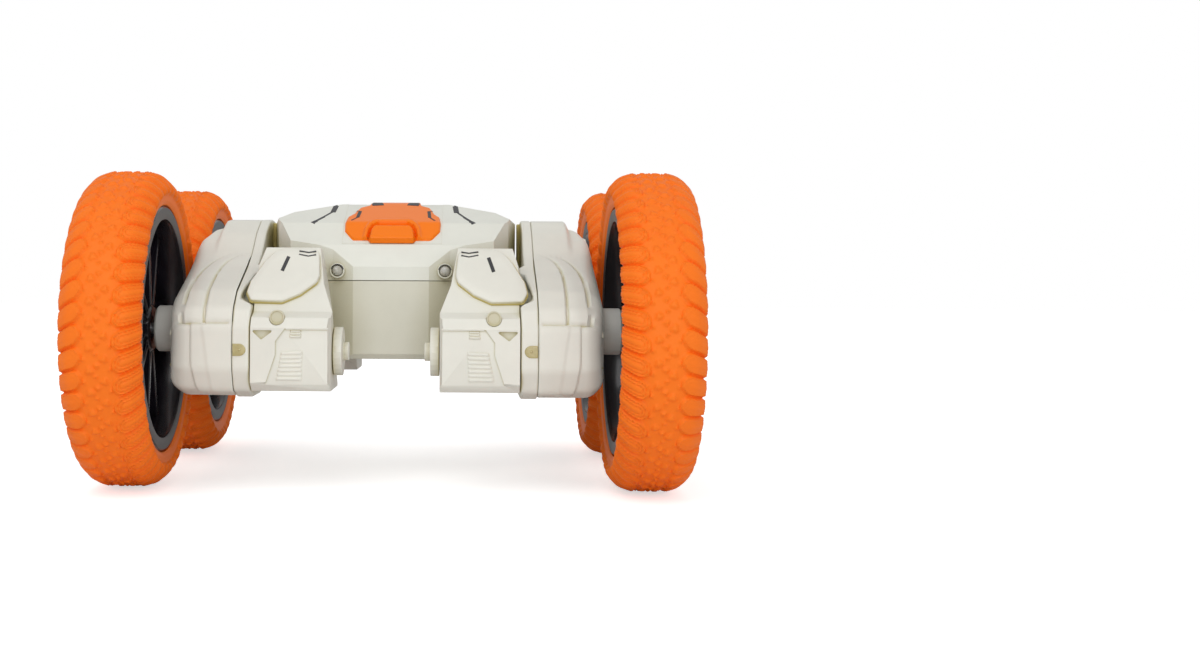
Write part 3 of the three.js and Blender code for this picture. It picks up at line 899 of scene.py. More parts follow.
NODE_FINISHES = {
    "_axle": "steel", "_motor": "motor_steel", "_motor_pinion": "brass",
    "_swing_sector": "nylon", "_pivot_pin": "steel", "lower_shell": "shaded_belly",
    "battery_door": "shell", "battery_pack": "battery", "circuit_board": "board",
    "power_switch": "black", "swing_motor": "motor_steel", "swing_pinion": "brass",
    "_end_cap": "arm",
}


def dress_frame(paints: Paints) -> None:
    """Gives each frame node that stays in view its finish and soft edges.

    Args:
        paints: The car's finishes.
    """
    for name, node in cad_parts.items():
        if node.hide_render:
            continue
        ending = max((e for e in NODE_FINISHES if name.endswith(e)), key=len)
        node.data.materials.clear()
        node.data.materials.append(getattr(paints, NODE_FINISHES[ending]))
        merge = node.modifiers.new("merge", "WELD")
        merge.merge_threshold = 0.00001
        bevel = node.modifiers.new("rounding", "BEVEL")
        bevel.width = 0.0003
        bevel.segments = 2
        bevel.limit_method = "ANGLE"
        bevel.angle_limit = math.radians(30)
        LOG.info("%s: the frame's own solid", name)


# ------------------------------------------------------------------------ wheels
@dataclass
class Wheel:
    """A tyre, its rim, its spoked disc and the collar that it turns against."""

    paints: Paints
    middle_x: float = 97.0
    centre: Flat = (-63.0, 60.0)
    bore: float = 46.7
    lobes: int = 46
    samples_per_lobe: int = 18
    across_samples: int = 96
    tread_height: float = 1.45
    lobe_start: float = 5.4
    lobe_radius: float = 3.75
    lobe_line_width: float = 0.7
    inner_line_depth: float = 0.38
    outer_line_depth: float = 0.16
    tread_end: Flat = (18.0, 21.5)
    crown_width: float = 7.4
    crown_height: float = 0.9
    crown_blocks: tuple[Point, ...] = (
        (-2.7, 0.1, 1.5), (2.5, 0.62, 1.6), (-0.2, 0.4, 1.2), (0.3, 0.9, 0.9),
        (-4.8, 0.58, 0.9), (4.8, 0.14, 0.9))
    spokes: int = 10
    spoke_splay: float = math.radians(4.5)

    def tyre_section(self) -> list[Flat]:
        """The tyre's outer section.

        Returns:
            The points from bead to bead: the distance from the tyre's middle, then the radius.
        """
        half = [(0, 60), (5.2, 60), (11.0, 57.9), (14.8, 53.8), (14.9, 50.4), (12.4, self.bore)]
        line = [(-o, r) for o, r in reversed(half[1:])] + half
        return resampled(rounded(line, [0, 3, 6, 8, 10, 0, 10, 8, 6, 3, 0], closed=False),
                         self.across_samples - 3)

    def crown(self, turn: float, across: float, pitch: float) -> float:
        """The height of the small blocks along the crown.

        Args:
            turn: The angle round the wheel.
            across: The distance from the crown's middle along the section.
            pitch: The length of tread that each lobe takes.

        Returns:
            The height above the tyre's body.
        """
        height = 0.0
        for middle, phase, size in self.crown_blocks:
            part = turn / (2 * math.pi) * self.lobes + phase
            along = ((part % 1) - 0.5) * pitch
            aside = across - middle
            points = math.cos(3 * math.atan2(aside, along) + 9 * phase)
            edge = size * (1.1 + 0.14 * points) - math.hypot(along, aside)
            height = max(height, step(-0.1, 1.1, edge))
        return self.crown_height * height

    def tread(self, turn: float, across: float) -> float:
        """The tread's height at a point.

        Args:
            turn: The angle round the wheel.
            across: The distance from the crown's middle along the section.

        Returns:
            The height above the tyre's body, in millimetres.
        """
        pitch = 2 * math.pi * 59 / self.lobes
        reach = abs(across)
        outer = across > 0
        slant = (0.55 if outer else 0.42) * max(0.0, (reach - self.lobe_start) / 13) ** 1.3
        share = turn / (2 * math.pi) * self.lobes + (slant if outer else 0.37 - slant)
        aside = ((share % 1) - 0.5) * pitch
        tip = self.lobe_start + self.lobe_radius
        from_middle = math.hypot(aside, min(0.0, reach - tip))
        inside = self.lobe_radius - from_middle
        lobe = step(-0.15, 0.75, inside) * (1 - 0.12 * (from_middle / self.lobe_radius) ** 2)
        depth = self.outer_line_depth if outer else self.inner_line_depth
        lobe -= depth * (ridge(1.3, self.lobe_line_width, inside) +
                         0.8 * ridge(2.5, self.lobe_line_width, inside))
        height = self.tread_height * max(0.0, lobe) * (1 - step(*self.tread_end, reach))
        if reach < self.crown_width:
            height = max(height, self.crown(turn, across, pitch))
        return height

    def tyre(self) -> bmesh.types.BMesh:
        """Shapes the tyre at the right front.

        Returns:
            The closed tyre.
        """
        section = self.tyre_section()
        lengths = [0.0]
        for a, b in zip(section, section[1:]):
            lengths.append(lengths[-1] + math.dist(a, b))
        bore_points = [(o, self.bore) for o in (5.0, -5.0)]
        line = section + bore_points
        normals = []
        for i in range(len(section)):
            before = section[max(0, i - 1)]
            after = section[min(len(section) - 1, i + 1)]
            run = Vector((after[0] - before[0], after[1] - before[1])).normalized()
            normals.append((-run.y, run.x))
        turns = self.lobes * self.samples_per_lobe
        half = lengths[-1] / 2

        def at(column: int, row: int) -> Point:
            """The place of a grid point.

            Args:
                column: Its column.
                row: Its row.

            Returns:
                The point.
            """
            row %= len(line)
            angle = 2 * math.pi * (column % turns) / turns
            offset, radius = line[row]
            if 0 < row < len(section) - 1:
                across = lengths[row] - half
                rise = self.tread(angle, across) - self.tread_height * (
                    1 - step(20.0, 23.5, abs(across)))
                offset += normals[row][0] * rise
                radius += normals[row][1] * rise
            return (self.middle_x + offset, self.centre[0] + radius * math.sin(angle),
                    self.centre[1] + radius * math.cos(angle))

        return drape(turns, len(line), at)

    def rim(self) -> bmesh.types.BMesh:
        """Turns the rim barrel with its flanges.

        Returns:
            The rim at the right front.
        """
        half = [(40.7, 96.0), (40.7, 86.2), (41.1, 85.5), (41.3, 84.7), (41.7, 84.4),
                (45.7, 84.4), (46.3, 84.9), (46.4, 86.0), (46.4, 97.0)]
        other = [(r, 2 * self.middle_x - x) for r, x in reversed(half)]
        return lathe(half + other[1:], Axis.X, self.centre, steps=128)

    def disc(self) -> bmesh.types.BMesh:
        """Builds the disc with its paired spokes.

        Returns:
            The disc at the right front.
        """
        work = soften(from_node("right_front_wheel_disc"), 0.5)
        boss = lathe([(3.2, 89.0), (8.0, 89.0), (9.2, 89.8), (9.2, 98.0), (3.2, 98.0)], Axis.X,
                     self.centre, steps=48)
        work = carve(work, boss, Join.ADD)
        for spoke in range(self.spokes):
            turn = math.pi / 2 + spoke * 2 * math.pi / self.spokes
            turn += self.spoke_splay * (1 if spoke % 2 else -1)
            rib = box((90.0, 7.5, -1.3), (99.5, 40.9, 1.3), 0.5)
            for vert in rib.verts:
                if vert.co.y > 20 and vert.co.x < 96:
                    vert.co.x += 1.5
            bmesh.ops.rotate(rib, verts=rib.verts, cent=(0, 0, 0),
                             matrix=Matrix.Rotation(turn, 3, "X"))
            bmesh.ops.translate(rib, verts=rib.verts, vec=(0, *self.centre))
            work = carve(work, rib, Join.ADD)
        return work

    def collar(self) -> bmesh.types.BMesh:
        """Turns the collar round the axle.

        Returns:
            The collar at the right front.
        """
        profile = [(2.6, 78.0), (8.7, 78.0), (8.7, 86.6), (8.0, 87.4), (6.6, 87.6),
                   (6.2, 87.0), (5.0, 87.0), (4.6, 87.5), (2.6, 87.5)]
        return lathe(profile, Axis.X, self.centre, steps=64)

    def build(self) -> None:
        """Makes the four wheels."""
        tyre, rim, disc, collar = self.tyre(), self.rim(), self.disc(), self.collar()
        cap = lathe([(0.0, 106.0), (8.2, 106.0), (7.6, 107.2), (6.0, 107.6), (5.2, 106.9),
                     (0.0, 106.9)], Axis.X, self.centre, steps=48)
        for corner in CORNERS:
            body = f"{corner.name}_wheel"
            finish_piece(at_corner(tyre, corner), f"{corner.name}_tread_tyre",
                         self.paints.rubber,
                         Fitting(body, "tyre_orange", (f"{corner.name}_tyre",)))
            made = finish_piece(at_corner(rim, corner), f"{corner.name}_rim_barrel",
                                self.paints.rim,
                                Fitting(body, "rim_black", (f"{corner.name}_rim",)))
            made.data.materials.append(self.paints.flange)
            for face in made.data.polygons:
                across = abs(face.center.x) / MM
                if across < 84.6 or across > 109.4:
                    face.material_index = 1
            finish_piece(at_corner(disc, corner), f"{corner.name}_spoked_disc",
                         self.paints.rim,
                         Fitting(body, "rim_black", (f"{corner.name}_wheel_disc",)),
                         flat_faces=True)
            finish_piece(at_corner(cap, corner), f"{corner.name}_hub_cap",
                         self.paints.rim, Fitting(body, "rim_black"))
            finish_piece(at_corner(collar, corner), f"{corner.name}_axle_collar",
                         self.paints.collar, Fitting(corner.arm, "arm_white"))
        for work in (tyre, rim, disc, cap, collar):
            work.free()


# -------------------------------------------------------------------------- arms
@dataclass
class ArmSkin:
    """One of the two mouldings of an arm: a skin bent round the arm's side view."""

    seam: float
    sign: int
    wall: Callable[[float, float], float]
    edge_radius: Callable[[float, float], float]
    relief: Callable[[float, float, float], float]
    belt_columns: int
    fan_y: float = -62.0
    spine_z: float = 58.0
    side_samples: int = 44
    nose_samples: int = 128
    edge_columns: int = 7
    wall_columns: int = 10
    thickness: float = 1.6

    def top_line(self) -> list[Flat]:
        """The arm's top in side view, from the middle to the nose."""
        return [(0, 104), (-10, 103.2), (-23, 98), (-37, 89), (-50, 83.6), (-76, 74.5),
                (-84.5, 68.4), (-88, 61)]

    def bottom_line(self) -> list[Flat]:
        """The arm's underside in side view, from the nose to the middle."""
        return [(-88, 46), (-83.5, 38), (-74, 35), (-54, 35), (-42, 38.5), (-30, 43), (0, 44)]

    def path(self) -> list[tuple[Flat, Flat, Flat]]:
        """The front half of the side view.

        Returns:
            (point, outward normal, spine point) triples over the nose.
        """
        radii = [0, 9, 12, 16, 14, 9, 6, 5, 6, 6, 6, 10, 12, 8, 0]
        line = rounded(self.top_line() + self.bottom_line(), radii, closed=False)
        nose = max(range(len(line)), key=lambda i: -line[i][0] - abs(line[i][1] - 54) * 1e-3)
        top = sorted(((y, z) for y, z in line[:nose + 1]), key=lambda p: p[0])
        bottom = sorted(((y, z) for y, z in line[nose:]), key=lambda p: p[0])
        steps = [self.fan_y * k / self.side_samples for k in range(self.side_samples)]
        over = [(y, read_curve(top, y)) for y in steps]
        under = [(y, read_curve(bottom, y)) for y in reversed(steps)]
        front = [(self.fan_y, read_curve(top, self.fan_y))]
        front += [p for p in line if p[0] < self.fan_y]
        front += [(self.fan_y, read_curve(bottom, self.fan_y))]
        points = over + resampled(front, self.nose_samples) + under
        result = []
        for i, (y, z) in enumerate(points):
            before, after = points[max(0, i - 1)], points[min(len(points) - 1, i + 1)]
            run = Vector((after[0] - before[0], after[1] - before[1])).normalized()
            spine = (max(y, self.fan_y), self.spine_z)
            result.append(((y, z), (run.y, -run.x), spine))
        return result

    def build(self) -> bmesh.types.BMesh:
        """Shapes the moulding.

        Returns:
            The whole moulding, front and rear, on the right side.
        """
        path = self.path()
        columns = self.belt_columns + self.edge_columns + self.wall_columns

        def at(column: int, row: int) -> Point:
            """The place of a grid point.

            Args:
                column: Its column.
                row: Its row.

            Returns:
                The point.
            """
            (y, z), (ny, nz), (spine_y, spine_z) = path[row]
            radius = self.edge_radius(y, z)
            limit = self.wall(y - ny * radius, z - nz * radius)
            brow = limit - self.sign * radius
            if column <= self.belt_columns:
                share = column / self.belt_columns
                x = mix(self.seam, brow, share)
                sink = 0.35 * (1 - min(1.0, column * abs(brow - self.seam) /
                                      self.belt_columns / 0.4)) ** 2
            elif column <= self.belt_columns + self.edge_columns:
                bend = (column - self.belt_columns) / self.edge_columns * math.pi / 2
                x = brow + self.sign * radius * math.sin(bend)
                sink = radius * (1 - math.cos(bend))
            else:
                share = (column - self.belt_columns - self.edge_columns) / self.wall_columns
                y0, z0 = y - ny * radius, z - nz * radius
                yw, zw = mix(y0, spine_y, share), mix(z0, spine_z, share)
                return (self.wall(yw, zw), yw, zw)
            sink -= self.relief(x, y, z)
            return (x, y - ny * sink, z - nz * sink)

        skin = drape(columns, len(path) - 1, at)
        outward = Vector((0, 0, 1))
        top = max(skin.faces, key=lambda f: f.calc_center_median().z)
        if top.normal.dot(outward) < 0:
            bmesh.ops.reverse_faces(skin, faces=skin.faces)
        return thicken(both_ends(skin), self.thickness)


@dataclass
class Arms:
    """The two side arms with their motor housings, pads and lamps."""

    paints: Paints
    shoulder_z: float = 68.5
    shoulder_set_back: float = 3.8
    outer_seam: float = 55.62
    outer_limit: float = 80.02
    inside_limit: float = 0.8
    inner_seam: float = 55.48
    first_groove: list[Flat] = field(default_factory=lambda: [
        (64, 73.9), (72, 73.3), (79, 72.9), (82.5, 71.8), (84.6, 70.4), (86.8, 68.2),
        (88.3, 65.8), (89.4, 62), (90, 58)])
    second_groove: list[Flat] = field(default_factory=lambda: [
        (64, 65.4), (76.6, 65.6), (80.5, 65.4), (83.1, 64.8), (85.8, 63.2), (87.9, 60.8),
        (89.2, 57.5), (90, 54)])
    band_height: float = 0.75
    outer_fade: Flat = (75.5, 79.0)
    level_groove_z: float = 63.2
    terrace_depth: float = 3.6
    lower_step: list[Flat] = field(default_factory=lambda: [
        (36, 68.2), (40, 69.4), (49, 70.7), (63, 70.7)])
    lower_crease: list[Flat] = field(default_factory=lambda: [
        (36, 63.4), (44, 64.2), (52, 65.2), (63, 66.8)])

    def outer_wall(self, y: float, z: float) -> float:
        """How far out the wheel side of an arm is.

        Args:
            y: The place along the car.
            z: The height.

        Returns:
            The wall's x on the right side.
        """
        plan = read_curve([(20, 78.4), (36, 79.4), (47, 80), (78, 80), (84.5, 78), (88, 74)],
                          abs(y))
        view = read_curve([(34, 74), (37.5, 77), (43, 80), (88, 80), (96, 78.6), (98.5, 77.0),
                           (104.5, 72.5)], z)
        return soft_minimum(plan, view, 0.5)

    def outer_radius(self, y: float, z: float) -> float:
        """The rounding of the cover's outer edge.

        Args:
            y: The place along the car; not used.
            z: The height.

        Returns:
            The radius.
        """
        return mix(6.0, 3.0, step(84, 98, z))

    def nose_relief(self, x: float, y: float, z: float) -> float:
        """The layered bands over the cover's nose.

        Args:
            x: The place across the car.
            y: The place along the car.
            z: The height.

        Returns:
            How far the surface stands out.
        """
        inner_share = 1 - step(*self.outer_fade, x)
        if z < self.level_groove_z:
            rise = 0.65 * step(0.3, -0.3, x - read_curve(self.lower_step, z))
            rise += 0.3 * step(0.8, -0.8, x - read_curve(self.lower_crease, z))
            rise *= step(34.5, 38, z) * inner_share
        else:
            fade = 1 - step(85.5, 90.5, z)
            first = x - read_curve(self.first_groove, z)
            second = x - read_curve(self.second_groove, z)
            rise = self.band_height * step(0.3, -0.3, first) * fade
            rise += 0.6 * step(0.3, -0.3, second) * fade
            rise -= (0.9 * ridge(0.5, 1.0, first) + 0.75 * ridge(0.55, 1.0, second)) * fade
            rise += 0.3 * ridge(-4.0, 5.5, first) * fade
        rise -= 0.75 * ridge(self.level_groove_z, 1.3, z) * step(56.2, 57.5, x) * inner_share
        if z > 70:
            rise += 0.5 * (1 - step(30, 42, -y))
        if z > 80:
            rise -= self.terrace_depth * step(69.2, 71.8, x) * (1 - step(14, 40, -y))
        return rise - self.band_height

    def inner_wall(self, y: float, z: float) -> float:
        """How far in the body side of an arm is.

        Args:
            y: The place along the car.
            z: The height.

        Returns:
            The wall's x on the right side.
        """
        wall = mix(51.5, 49.2, step(46.5, 48.5, abs(y)))
        along = abs(y)
        if z > 68 and 55 < along < 84:
            notch = read_curve([(70.0, 53.6), (73, 53.8), (80, 51.4), (87, 49.4)], z)
            skin = read_curve([(55, 82.2), (76, 74.5), (84, 68.5)], along)
            share = step(-7.5, -5.0, z - skin) * step(69.0, 71.5, z)
            wall = mix(wall, max(wall, notch), share)
        return wall

    def housing(self) -> bmesh.types.BMesh:
        """Builds a motor housing from the frame's solid and adds its mouldings.

        Returns:
            The housing at the right front.
        """
        solid = from_node("right_front_motor_housing")
        for vert in solid.verts:
            if vert.co.z > self.shoulder_z and vert.co.x < 30:
                vert.co.x += self.shoulder_set_back
            elif vert.co.y < -87.9:
                vert.co.x -= 2.0 * step(26, 25, vert.co.x)
                vert.co.z -= 1.8 * step(46, 44, vert.co.z)
        work = soften(solid, 0.9,
                      where=lambda p: not (24 < p.x < 47 and -86 < p.y < -52 and
                                           40 < p.z < 60))
        front = prism([(18, 36), (45.0, 36), (39.8, 51.5), (39.8, 56.4), (36.4, 61.0),
                       (18, 61.0)], Axis.Y, -90, -87.3)
        work = carve(work, front, Join.CUT)
        pocket = prism(rounded([(48.6, 60.4), (40.2, 60.4), (44.9, 56.9)], 0.6), Axis.Y,
                       -90, -86.6)
        work = carve(work, pocket, Join.CUT)
        screw_hole = lathe([(0, -90), (2.9, -90), (2.9, -84.0), (0, -84.0)], Axis.Y,
                           (39.4, 65.0), steps=32)
        work = carve(work, screw_hole, Join.CUT)
        lip = box((20.5, -87.9, 60.6), (36.0, -86.9, 61.4), 0.25)
        work = carve(work, lip, Join.ADD)
        return work

    def plug(self) -> bmesh.types.BMesh:
        """Turns the plug that fills a housing's screw hole.

        Returns:
            The plug at the right front.
        """
        profile = [(0, -85.5), (2.1, -85.5), (2.3, -85.9), (2.75, -85.9), (2.75, -83.9),
                   (0, -83.9)]
        return lathe(profile, Axis.Y, (39.4, 65.0), steps=40)

    def vent(self, outline: tuple[Flat, Flat, Flat, Flat], ribs: int) -> bmesh.types.BMesh:
        """Shapes a plate of level ribs on a housing's front.

        Args:
            outline: Its corners (x, z): bottom inner, bottom outer, top outer, top inner.
            ribs: The number of ribs.

        Returns:
            The plate at the right front.
        """
        rows, columns = ribs * 10, 16

        def at(column: int, row: int) -> Point:
            """The place of a grid point.

            Args:
                column: Its column.
                row: Its row.

            Returns:
                The point.
            """
            u, v = column / columns, row / rows
            low = [mix(outline[0][k], outline[1][k], u) for k in (0, 1)]
            high = [mix(outline[3][k], outline[2][k], u) for k in (0, 1)]
            x, z = mix(low[0], high[0], v), mix(low[1], high[1], v)
            edge = min(u, 1 - u, v * 2, (1 - v) * 2)
            wave = 0.5 - 0.5 * math.cos(2 * math.pi * ribs * v)
            return (x, -87.35 - step(0.0, 0.07, edge) * (0.16 + 0.42 * wave), z)

        skin = drape(columns, rows, at)
        if skin.faces[0].normal.y > 0:
            bmesh.ops.reverse_faces(skin, faces=skin.faces)
        return thicken(skin, 0.5)

    def on_slope(self, x: float, z: float, height: float) -> Point:
        """A place over the sloped top of a motor housing.

        Args:
            x: The place across the car.
            z: The height of the point below it on the slope.
            height: How far it stands off the slope.

        Returns:
            The point.
        """
        y = -79.5 + (z - 67) * 20.5 / 24
        return (x, y - 0.7604 * height, z + 0.6495 * height)

    def pad(self) -> bmesh.types.BMesh:
        """Shapes the domed pad over a motor housing.

        Returns:
            The pad at the right front.
        """
        corners = [(50.3, 70.2), (51.9, 73.2), (50.9, 77.2), (46.6, 84.4), (43.4, 88.0),
                   (40.3, 89.4), (27.8, 89.4), (26.2, 87.6), (25.4, 79.6), (26.2, 77.2),
                   (32.0, 72.8), (38.5, 69.9)]
        radii = [1.6, 1.6, 2, 4, 4, 4, 2, 2, 2.5, 2.5, 6, 5]
        levels = [(0.0, 0.3), (0.0, 1.35), (0.1, 1.62), (0.3, 1.82), (0.6, 1.93), (1.3, 2.0),
                  (1.8, 2.16), (2.6, 2.22)]
        rings = []
        for inward, height in levels:
            outline = rounded(inset_outline(corners, inward), radii)
            rings.append([self.on_slope(x, z, height) for x, z in outline])
        return loft(rings)

    def shadow_sheet(self) -> bmesh.types.BMesh:
        """Shapes a thin yellow strip round a pad: painted shadow for the shaded gap at the pad's
        edge.

        Returns:
            The gasket at the right front.
        """
        corners = [(50.4, 69.9), (52.3, 73.1), (51.3, 77.4), (47.0, 84.7), (43.8, 88.2),
                   (40.3, 89.3), (27.8, 89.3), (26.3, 87.5), (25.6, 79.6), (26.1, 77.0),
                   (32.0, 72.5), (38.5, 69.65)]
        work = prism(rounded(corners, 1.6), Axis.Y, 0.02, 0.5)
        for vert in work.verts:
            vert.co = Vector(self.on_slope(vert.co.x, vert.co.z, vert.co.y))
        bmesh.ops.recalc_face_normals(work, faces=work.faces)
        return work

    def pad_print(self, line: list[Flat], width: float) -> bmesh.types.BMesh:
        """Lays a printed bar on a pad.

        Args:
            line: The bar's middle line in (x, z) on the slope.
            width: The bar's width.

        Returns:
            The thin bar at the right front.
        """
        parts = []
        for start, end in zip(line, line[1:]):
            run = Vector(end) - Vector(start)
            aside = Vector((-run.y, run.x)).normalized() * width / 2
            outline = [Vector(start) + aside, Vector(end) + aside, Vector(end) - aside,
                       Vector(start) - aside]
            bar = prism([(p.x, p.y) for p in outline], Axis.Y, 2.1, 2.32)
            for vert in bar.verts:
                vert.co = Vector(self.on_slope(vert.co.x, vert.co.z, vert.co.y))
            bmesh.ops.recalc_face_normals(bar, faces=bar.faces)
            parts.append(bar)
        return gather(*parts)

    def lens(self) -> bmesh.types.BMesh:
        """Shapes the half-round amber lens beside the seam.

        Returns:
            The lens at the right front.
        """
        arc = [(52.9 - 2.4 * math.sin(a), 53.2 + 2.2 * math.cos(a))
               for a in [math.pi * k / 14 for k in range(15)]]
        outline = arc + [(55.2, 51.0), (55.2, 55.4)]
        work = prism(outline, Axis.Y, -88.25, -86.5, edge=0.3)
        dot = lathe([(0, -88.55), (0.4, -88.5), (0.6, -88.2), (0, -88.2)], Axis.Y,
                    (52.8, 53.3), steps=20)
        return gather(work, dot)

    def build(self) -> None:
        """Makes both arms."""
        outer = ArmSkin(self.outer_seam, 1, self.outer_wall, self.outer_radius,
                        self.nose_relief, belt_columns=40).build()
        for vert in outer.verts:
            if vert.co.x > self.outer_limit:
                vert.co.x = self.outer_limit - self.inside_limit
        inner = ArmSkin(self.inner_seam, -1, self.inner_wall, lambda y, z: 0.9,
                        lambda x, y, z: -0.15, belt_columns=12, edge_columns=4,
                        thickness=1.4).build()
        # The pivot web stands for the bracket between arm and hood; its yellow-brown colour is
        # painted shade for the gap there.
        web = box((50.1, -1.5, 82.0), (52.0, 1.5, 102.4), 0.4)
        for side in Side:
            corner = Corner(side, End.FRONT)
            name = side.name.lower()
            finish_piece(at_corner(web, corner), f"{name}_pivot_web", self.paints.shade_yellow,
                         Fitting(f"{name}_arm", "arm_white"))
            finish_piece(at_corner(outer, corner), f"{name}_arm_cover", self.paints.arm,
                         Fitting(f"{name}_arm", "arm_white", (f"{name}_arm_outer_cover",)))
            finish_piece(at_corner(inner, corner), f"{name}_arm_liner", self.paints.arm,
                         Fitting(f"{name}_arm", "arm_white", (f"{name}_arm_inner_shell",)))
        parts = [
            (self.housing(), "motor_box", self.paints.arm, "arm_white", "motor_housing"),
            (self.plug(), "screw_plug", self.paints.plug, "arm_white", None),
            (self.vent(((30.2, 42.0), (39.6, 42.0), (37.6, 52.7), (29.8, 53.0)), 7),
             "lower_vent", self.paints.arm, "arm_white", None),
            (self.vent(((30.4, 57.6), (34.6, 57.6), (34.2, 60.6), (30.4, 60.6)), 3),
             "upper_vent", self.paints.arm, "arm_white", None),
            (self.pad(), "top_pad", self.paints.arm, "arm_white", "cover_plate"),
            # painted shadow: the yellow strip round each pad stands for the shaded gap there
            (self.shadow_sheet(), "pad_shadow_line", self.paints.shade_yellow, "lens_amber", None),
            (self.pad_print([(37.6, 86.0), (39.5, 80.6)], 1.3), "pad_bar",
             self.paints.print_grey, "switch_black", None),
            (self.pad_print([(33.8, 88.2), (30.2, 87.6), (27.4, 88.1)], 0.4), "pad_chevron",
             self.paints.print_grey, "switch_black", None),
            (self.pad_print([(33.8, 86.9), (30.2, 86.2), (27.4, 86.8)], 0.4),
             "pad_chevron_lower", self.paints.print_grey, "switch_black", None),
            (self.lens(), "side_lens", self.paints.amber, "lens_amber", "lens"),
        ]
        for work, name, material, slot, node in parts:
            for corner in CORNERS:
                nodes = (f"{corner.name}_{node}",) if node else ()
                finish_piece(at_corner(work, corner), f"{corner.name}_{name}", material,
                             Fitting(corner.arm, slot, nodes), flat_faces=True)
            work.free()
        for work in (outer, inner, web):
            work.free()


# -------------------------------------------------------------------------- body
@dataclass
class Body:
    """The middle shell with its orange panel, lamps and printed marks."""

    paints: Paints
    panel_columns: int = 96
    panel_rows: int = 150
    seam_lip: float = 0.27
    wall: float = 2.55
    lamp_x: float = 21.0
    lamp_z: float = 82.4

    def shell(self, node: str, radius: float) -> bmesh.types.BMesh:
        """A shell from the frame's solid with softer edges.

        Args:
            node: The node's name.
            radius: The rounding of its outer edges.

        Returns:
            The shell.
        """
        work = soften(from_node(node), radius, sharper_than=12.0,
                      where=lambda p: p.z > 79.5 or p.z < 77.5)
        top = max(vert.co.z for vert in work.verts)
        if top < 80:
            for vert in work.verts:
                vert.co.z += self.seam_lip * step(top - 0.05, top, vert.co.z)
        return work

    def panel_bed(self) -> bmesh.types.BMesh:
        """Builds the bed that lifts the roof under the orange panel.

        Returns:
            The bed.
        """
        line = [(-39.5, 93.4), (-30.0, 101.6), (-6.0, 110.2), (6.0, 110.2), (30.0, 101.6),
                (39.5, 93.4)]
        upper = [(y, z - 0.12) for y, z in line]
        lower = [(y, z - 2.2) for y, z in reversed(line)]
        return prism(upper + lower, Axis.X, -19.8, 19.8)

    def seam_rib(self) -> bmesh.types.BMesh:
        """Builds the rib inside the seam between the two shells.

        Returns:
            The rib.
        """
        quarter = [(14.8, 45.0), (23.0, 41.5), (40.0, 38.5), (46.0, 27.0), (49.3, 8.0)]
        right = quarter + [(x, -y) for x, y in reversed(quarter)]
        plan = right + [(-x, y) for x, y in reversed(right)]
        rib = prism(inset_outline(plan, self.wall), Axis.Z, 77.2, 80.0)
        opening = prism(inset_outline(plan, self.wall + 0.9), Axis.Z, 77.0, 80.2)
        return carve(rib, opening, Join.CUT)

    def roof_line(self, share: float) -> tuple[Flat, Flat]:
        """The roof in side view, from the front of the panel to its rear.

        Args:
            share: How far along, from 0 to 1.

        Returns:
            The (y, z) point and its outward normal.
        """
        half = [(-38.3, 94.2), (-30.4, 101.2), (-6.4, 109.7), (0, 110.4)]
        line = rounded(half + [(-y, z) for y, z in reversed(half[:-1])],
                       [0, 3, 14, 14, 14, 3, 0], closed=False)
        points = resampled(line, 301)
        place_on = min(299, max(1, round(share * 300)))
        y, z = points[place_on if 0 < share < 1 else round(share * 300)]
        before, after = points[place_on - 1], points[place_on + 1]
        run = Vector((after[0] - before[0], after[1] - before[1])).normalized()
        return (y, z), (-run.y, run.x)

    def panel_half_width(self, along: float) -> float:
        """The panel's half width.

        Args:
            along: The distance along the roof from the panel's end.

        Returns:
            The half width.
        """
        return read_curve([(0, 15.2), (0.8, 16.0), (5.6, 18.9), (11, 19.1), (17.5, 18.6),
                           (21.5, 16.6), (30, 14.6), (33, 11.0), (38, 10.3)], along)

    def panel_relief(self, x: float, along: float) -> float:
        """The panel's raised block, its frame and its upper vents.

        Args:
            x: The place across the panel.
            along: The distance along the roof from the panel's end.

        Returns:
            How far the surface stands out.
        """
        across = abs(x)
        block_width = read_curve([(0, 9.2), (4.5, 8.5), (6.2, 7.6), (7.2, 6.2)], along)
        block = step(-0.5, 0.7, min(block_width - across, 7.2 - along))
        hood_width = read_curve([(0, 11.4), (6.5, 10.8), (9.5, 9.6), (12.5, 6.4)], along)
        hood = step(-0.7, 0.5, min(hood_width - across, 12.5 - along))
        dish_width = read_curve([(0, 9.9), (5.5, 9.3), (8.0, 8.2), (9.6, 5.6)], along)
        dish = step(-0.4, 0.5, min(dish_width - across, 9.6 - along))
        return 1.0 * hood - 1.9 * dish * (1 - block) + 0.9 * block

    def panel(self) -> bmesh.types.BMesh:
        """Shapes the orange panel over the roof.

        Returns:
            The panel.
        """
        length = 0.0
        last = None
        for k in range(101):
            here = self.roof_line(k / 100)[0]
            length += math.dist(here, last) if last else 0.0
            last = here

        def at(column: int, row: int) -> Point:
            """The place of a grid point.

            Args:
                column: Its column.
                row: Its row.

            Returns:
                The point.
            """
            u, v = column / self.panel_columns * 2 - 1, row / self.panel_rows
            along = min(v, 1 - v) * length
            half = self.panel_half_width(along)
            block_end = 2.3 * (1 - step(8.3, 9.6, abs(u) * half)) * (1 - step(0, 5, along))
            (y, z), (ny, nz) = self.roof_line(v)
            run = -1 if v < 0.5 else 1
            y, z = y + run * nz * block_end * 0.8, z - abs(ny) * block_end * 0.8
            x = u * half
            border = min((1 - abs(u)) * half, along)
            rise = 0.95 + self.panel_relief(x, along) * step(-0.3, 0.8, border)
            rise -= 0.9 * (1 - min(1.0, border / 0.8)) ** 2
            return (x, y + ny * rise, z + nz * rise)

        skin = drape(self.panel_columns, self.panel_rows, at)
        if max(skin.faces, key=lambda f: f.calc_center_median().z).normal.z < 0:
            bmesh.ops.reverse_faces(skin, faces=skin.faces)
        return thicken(skin, 1.3)

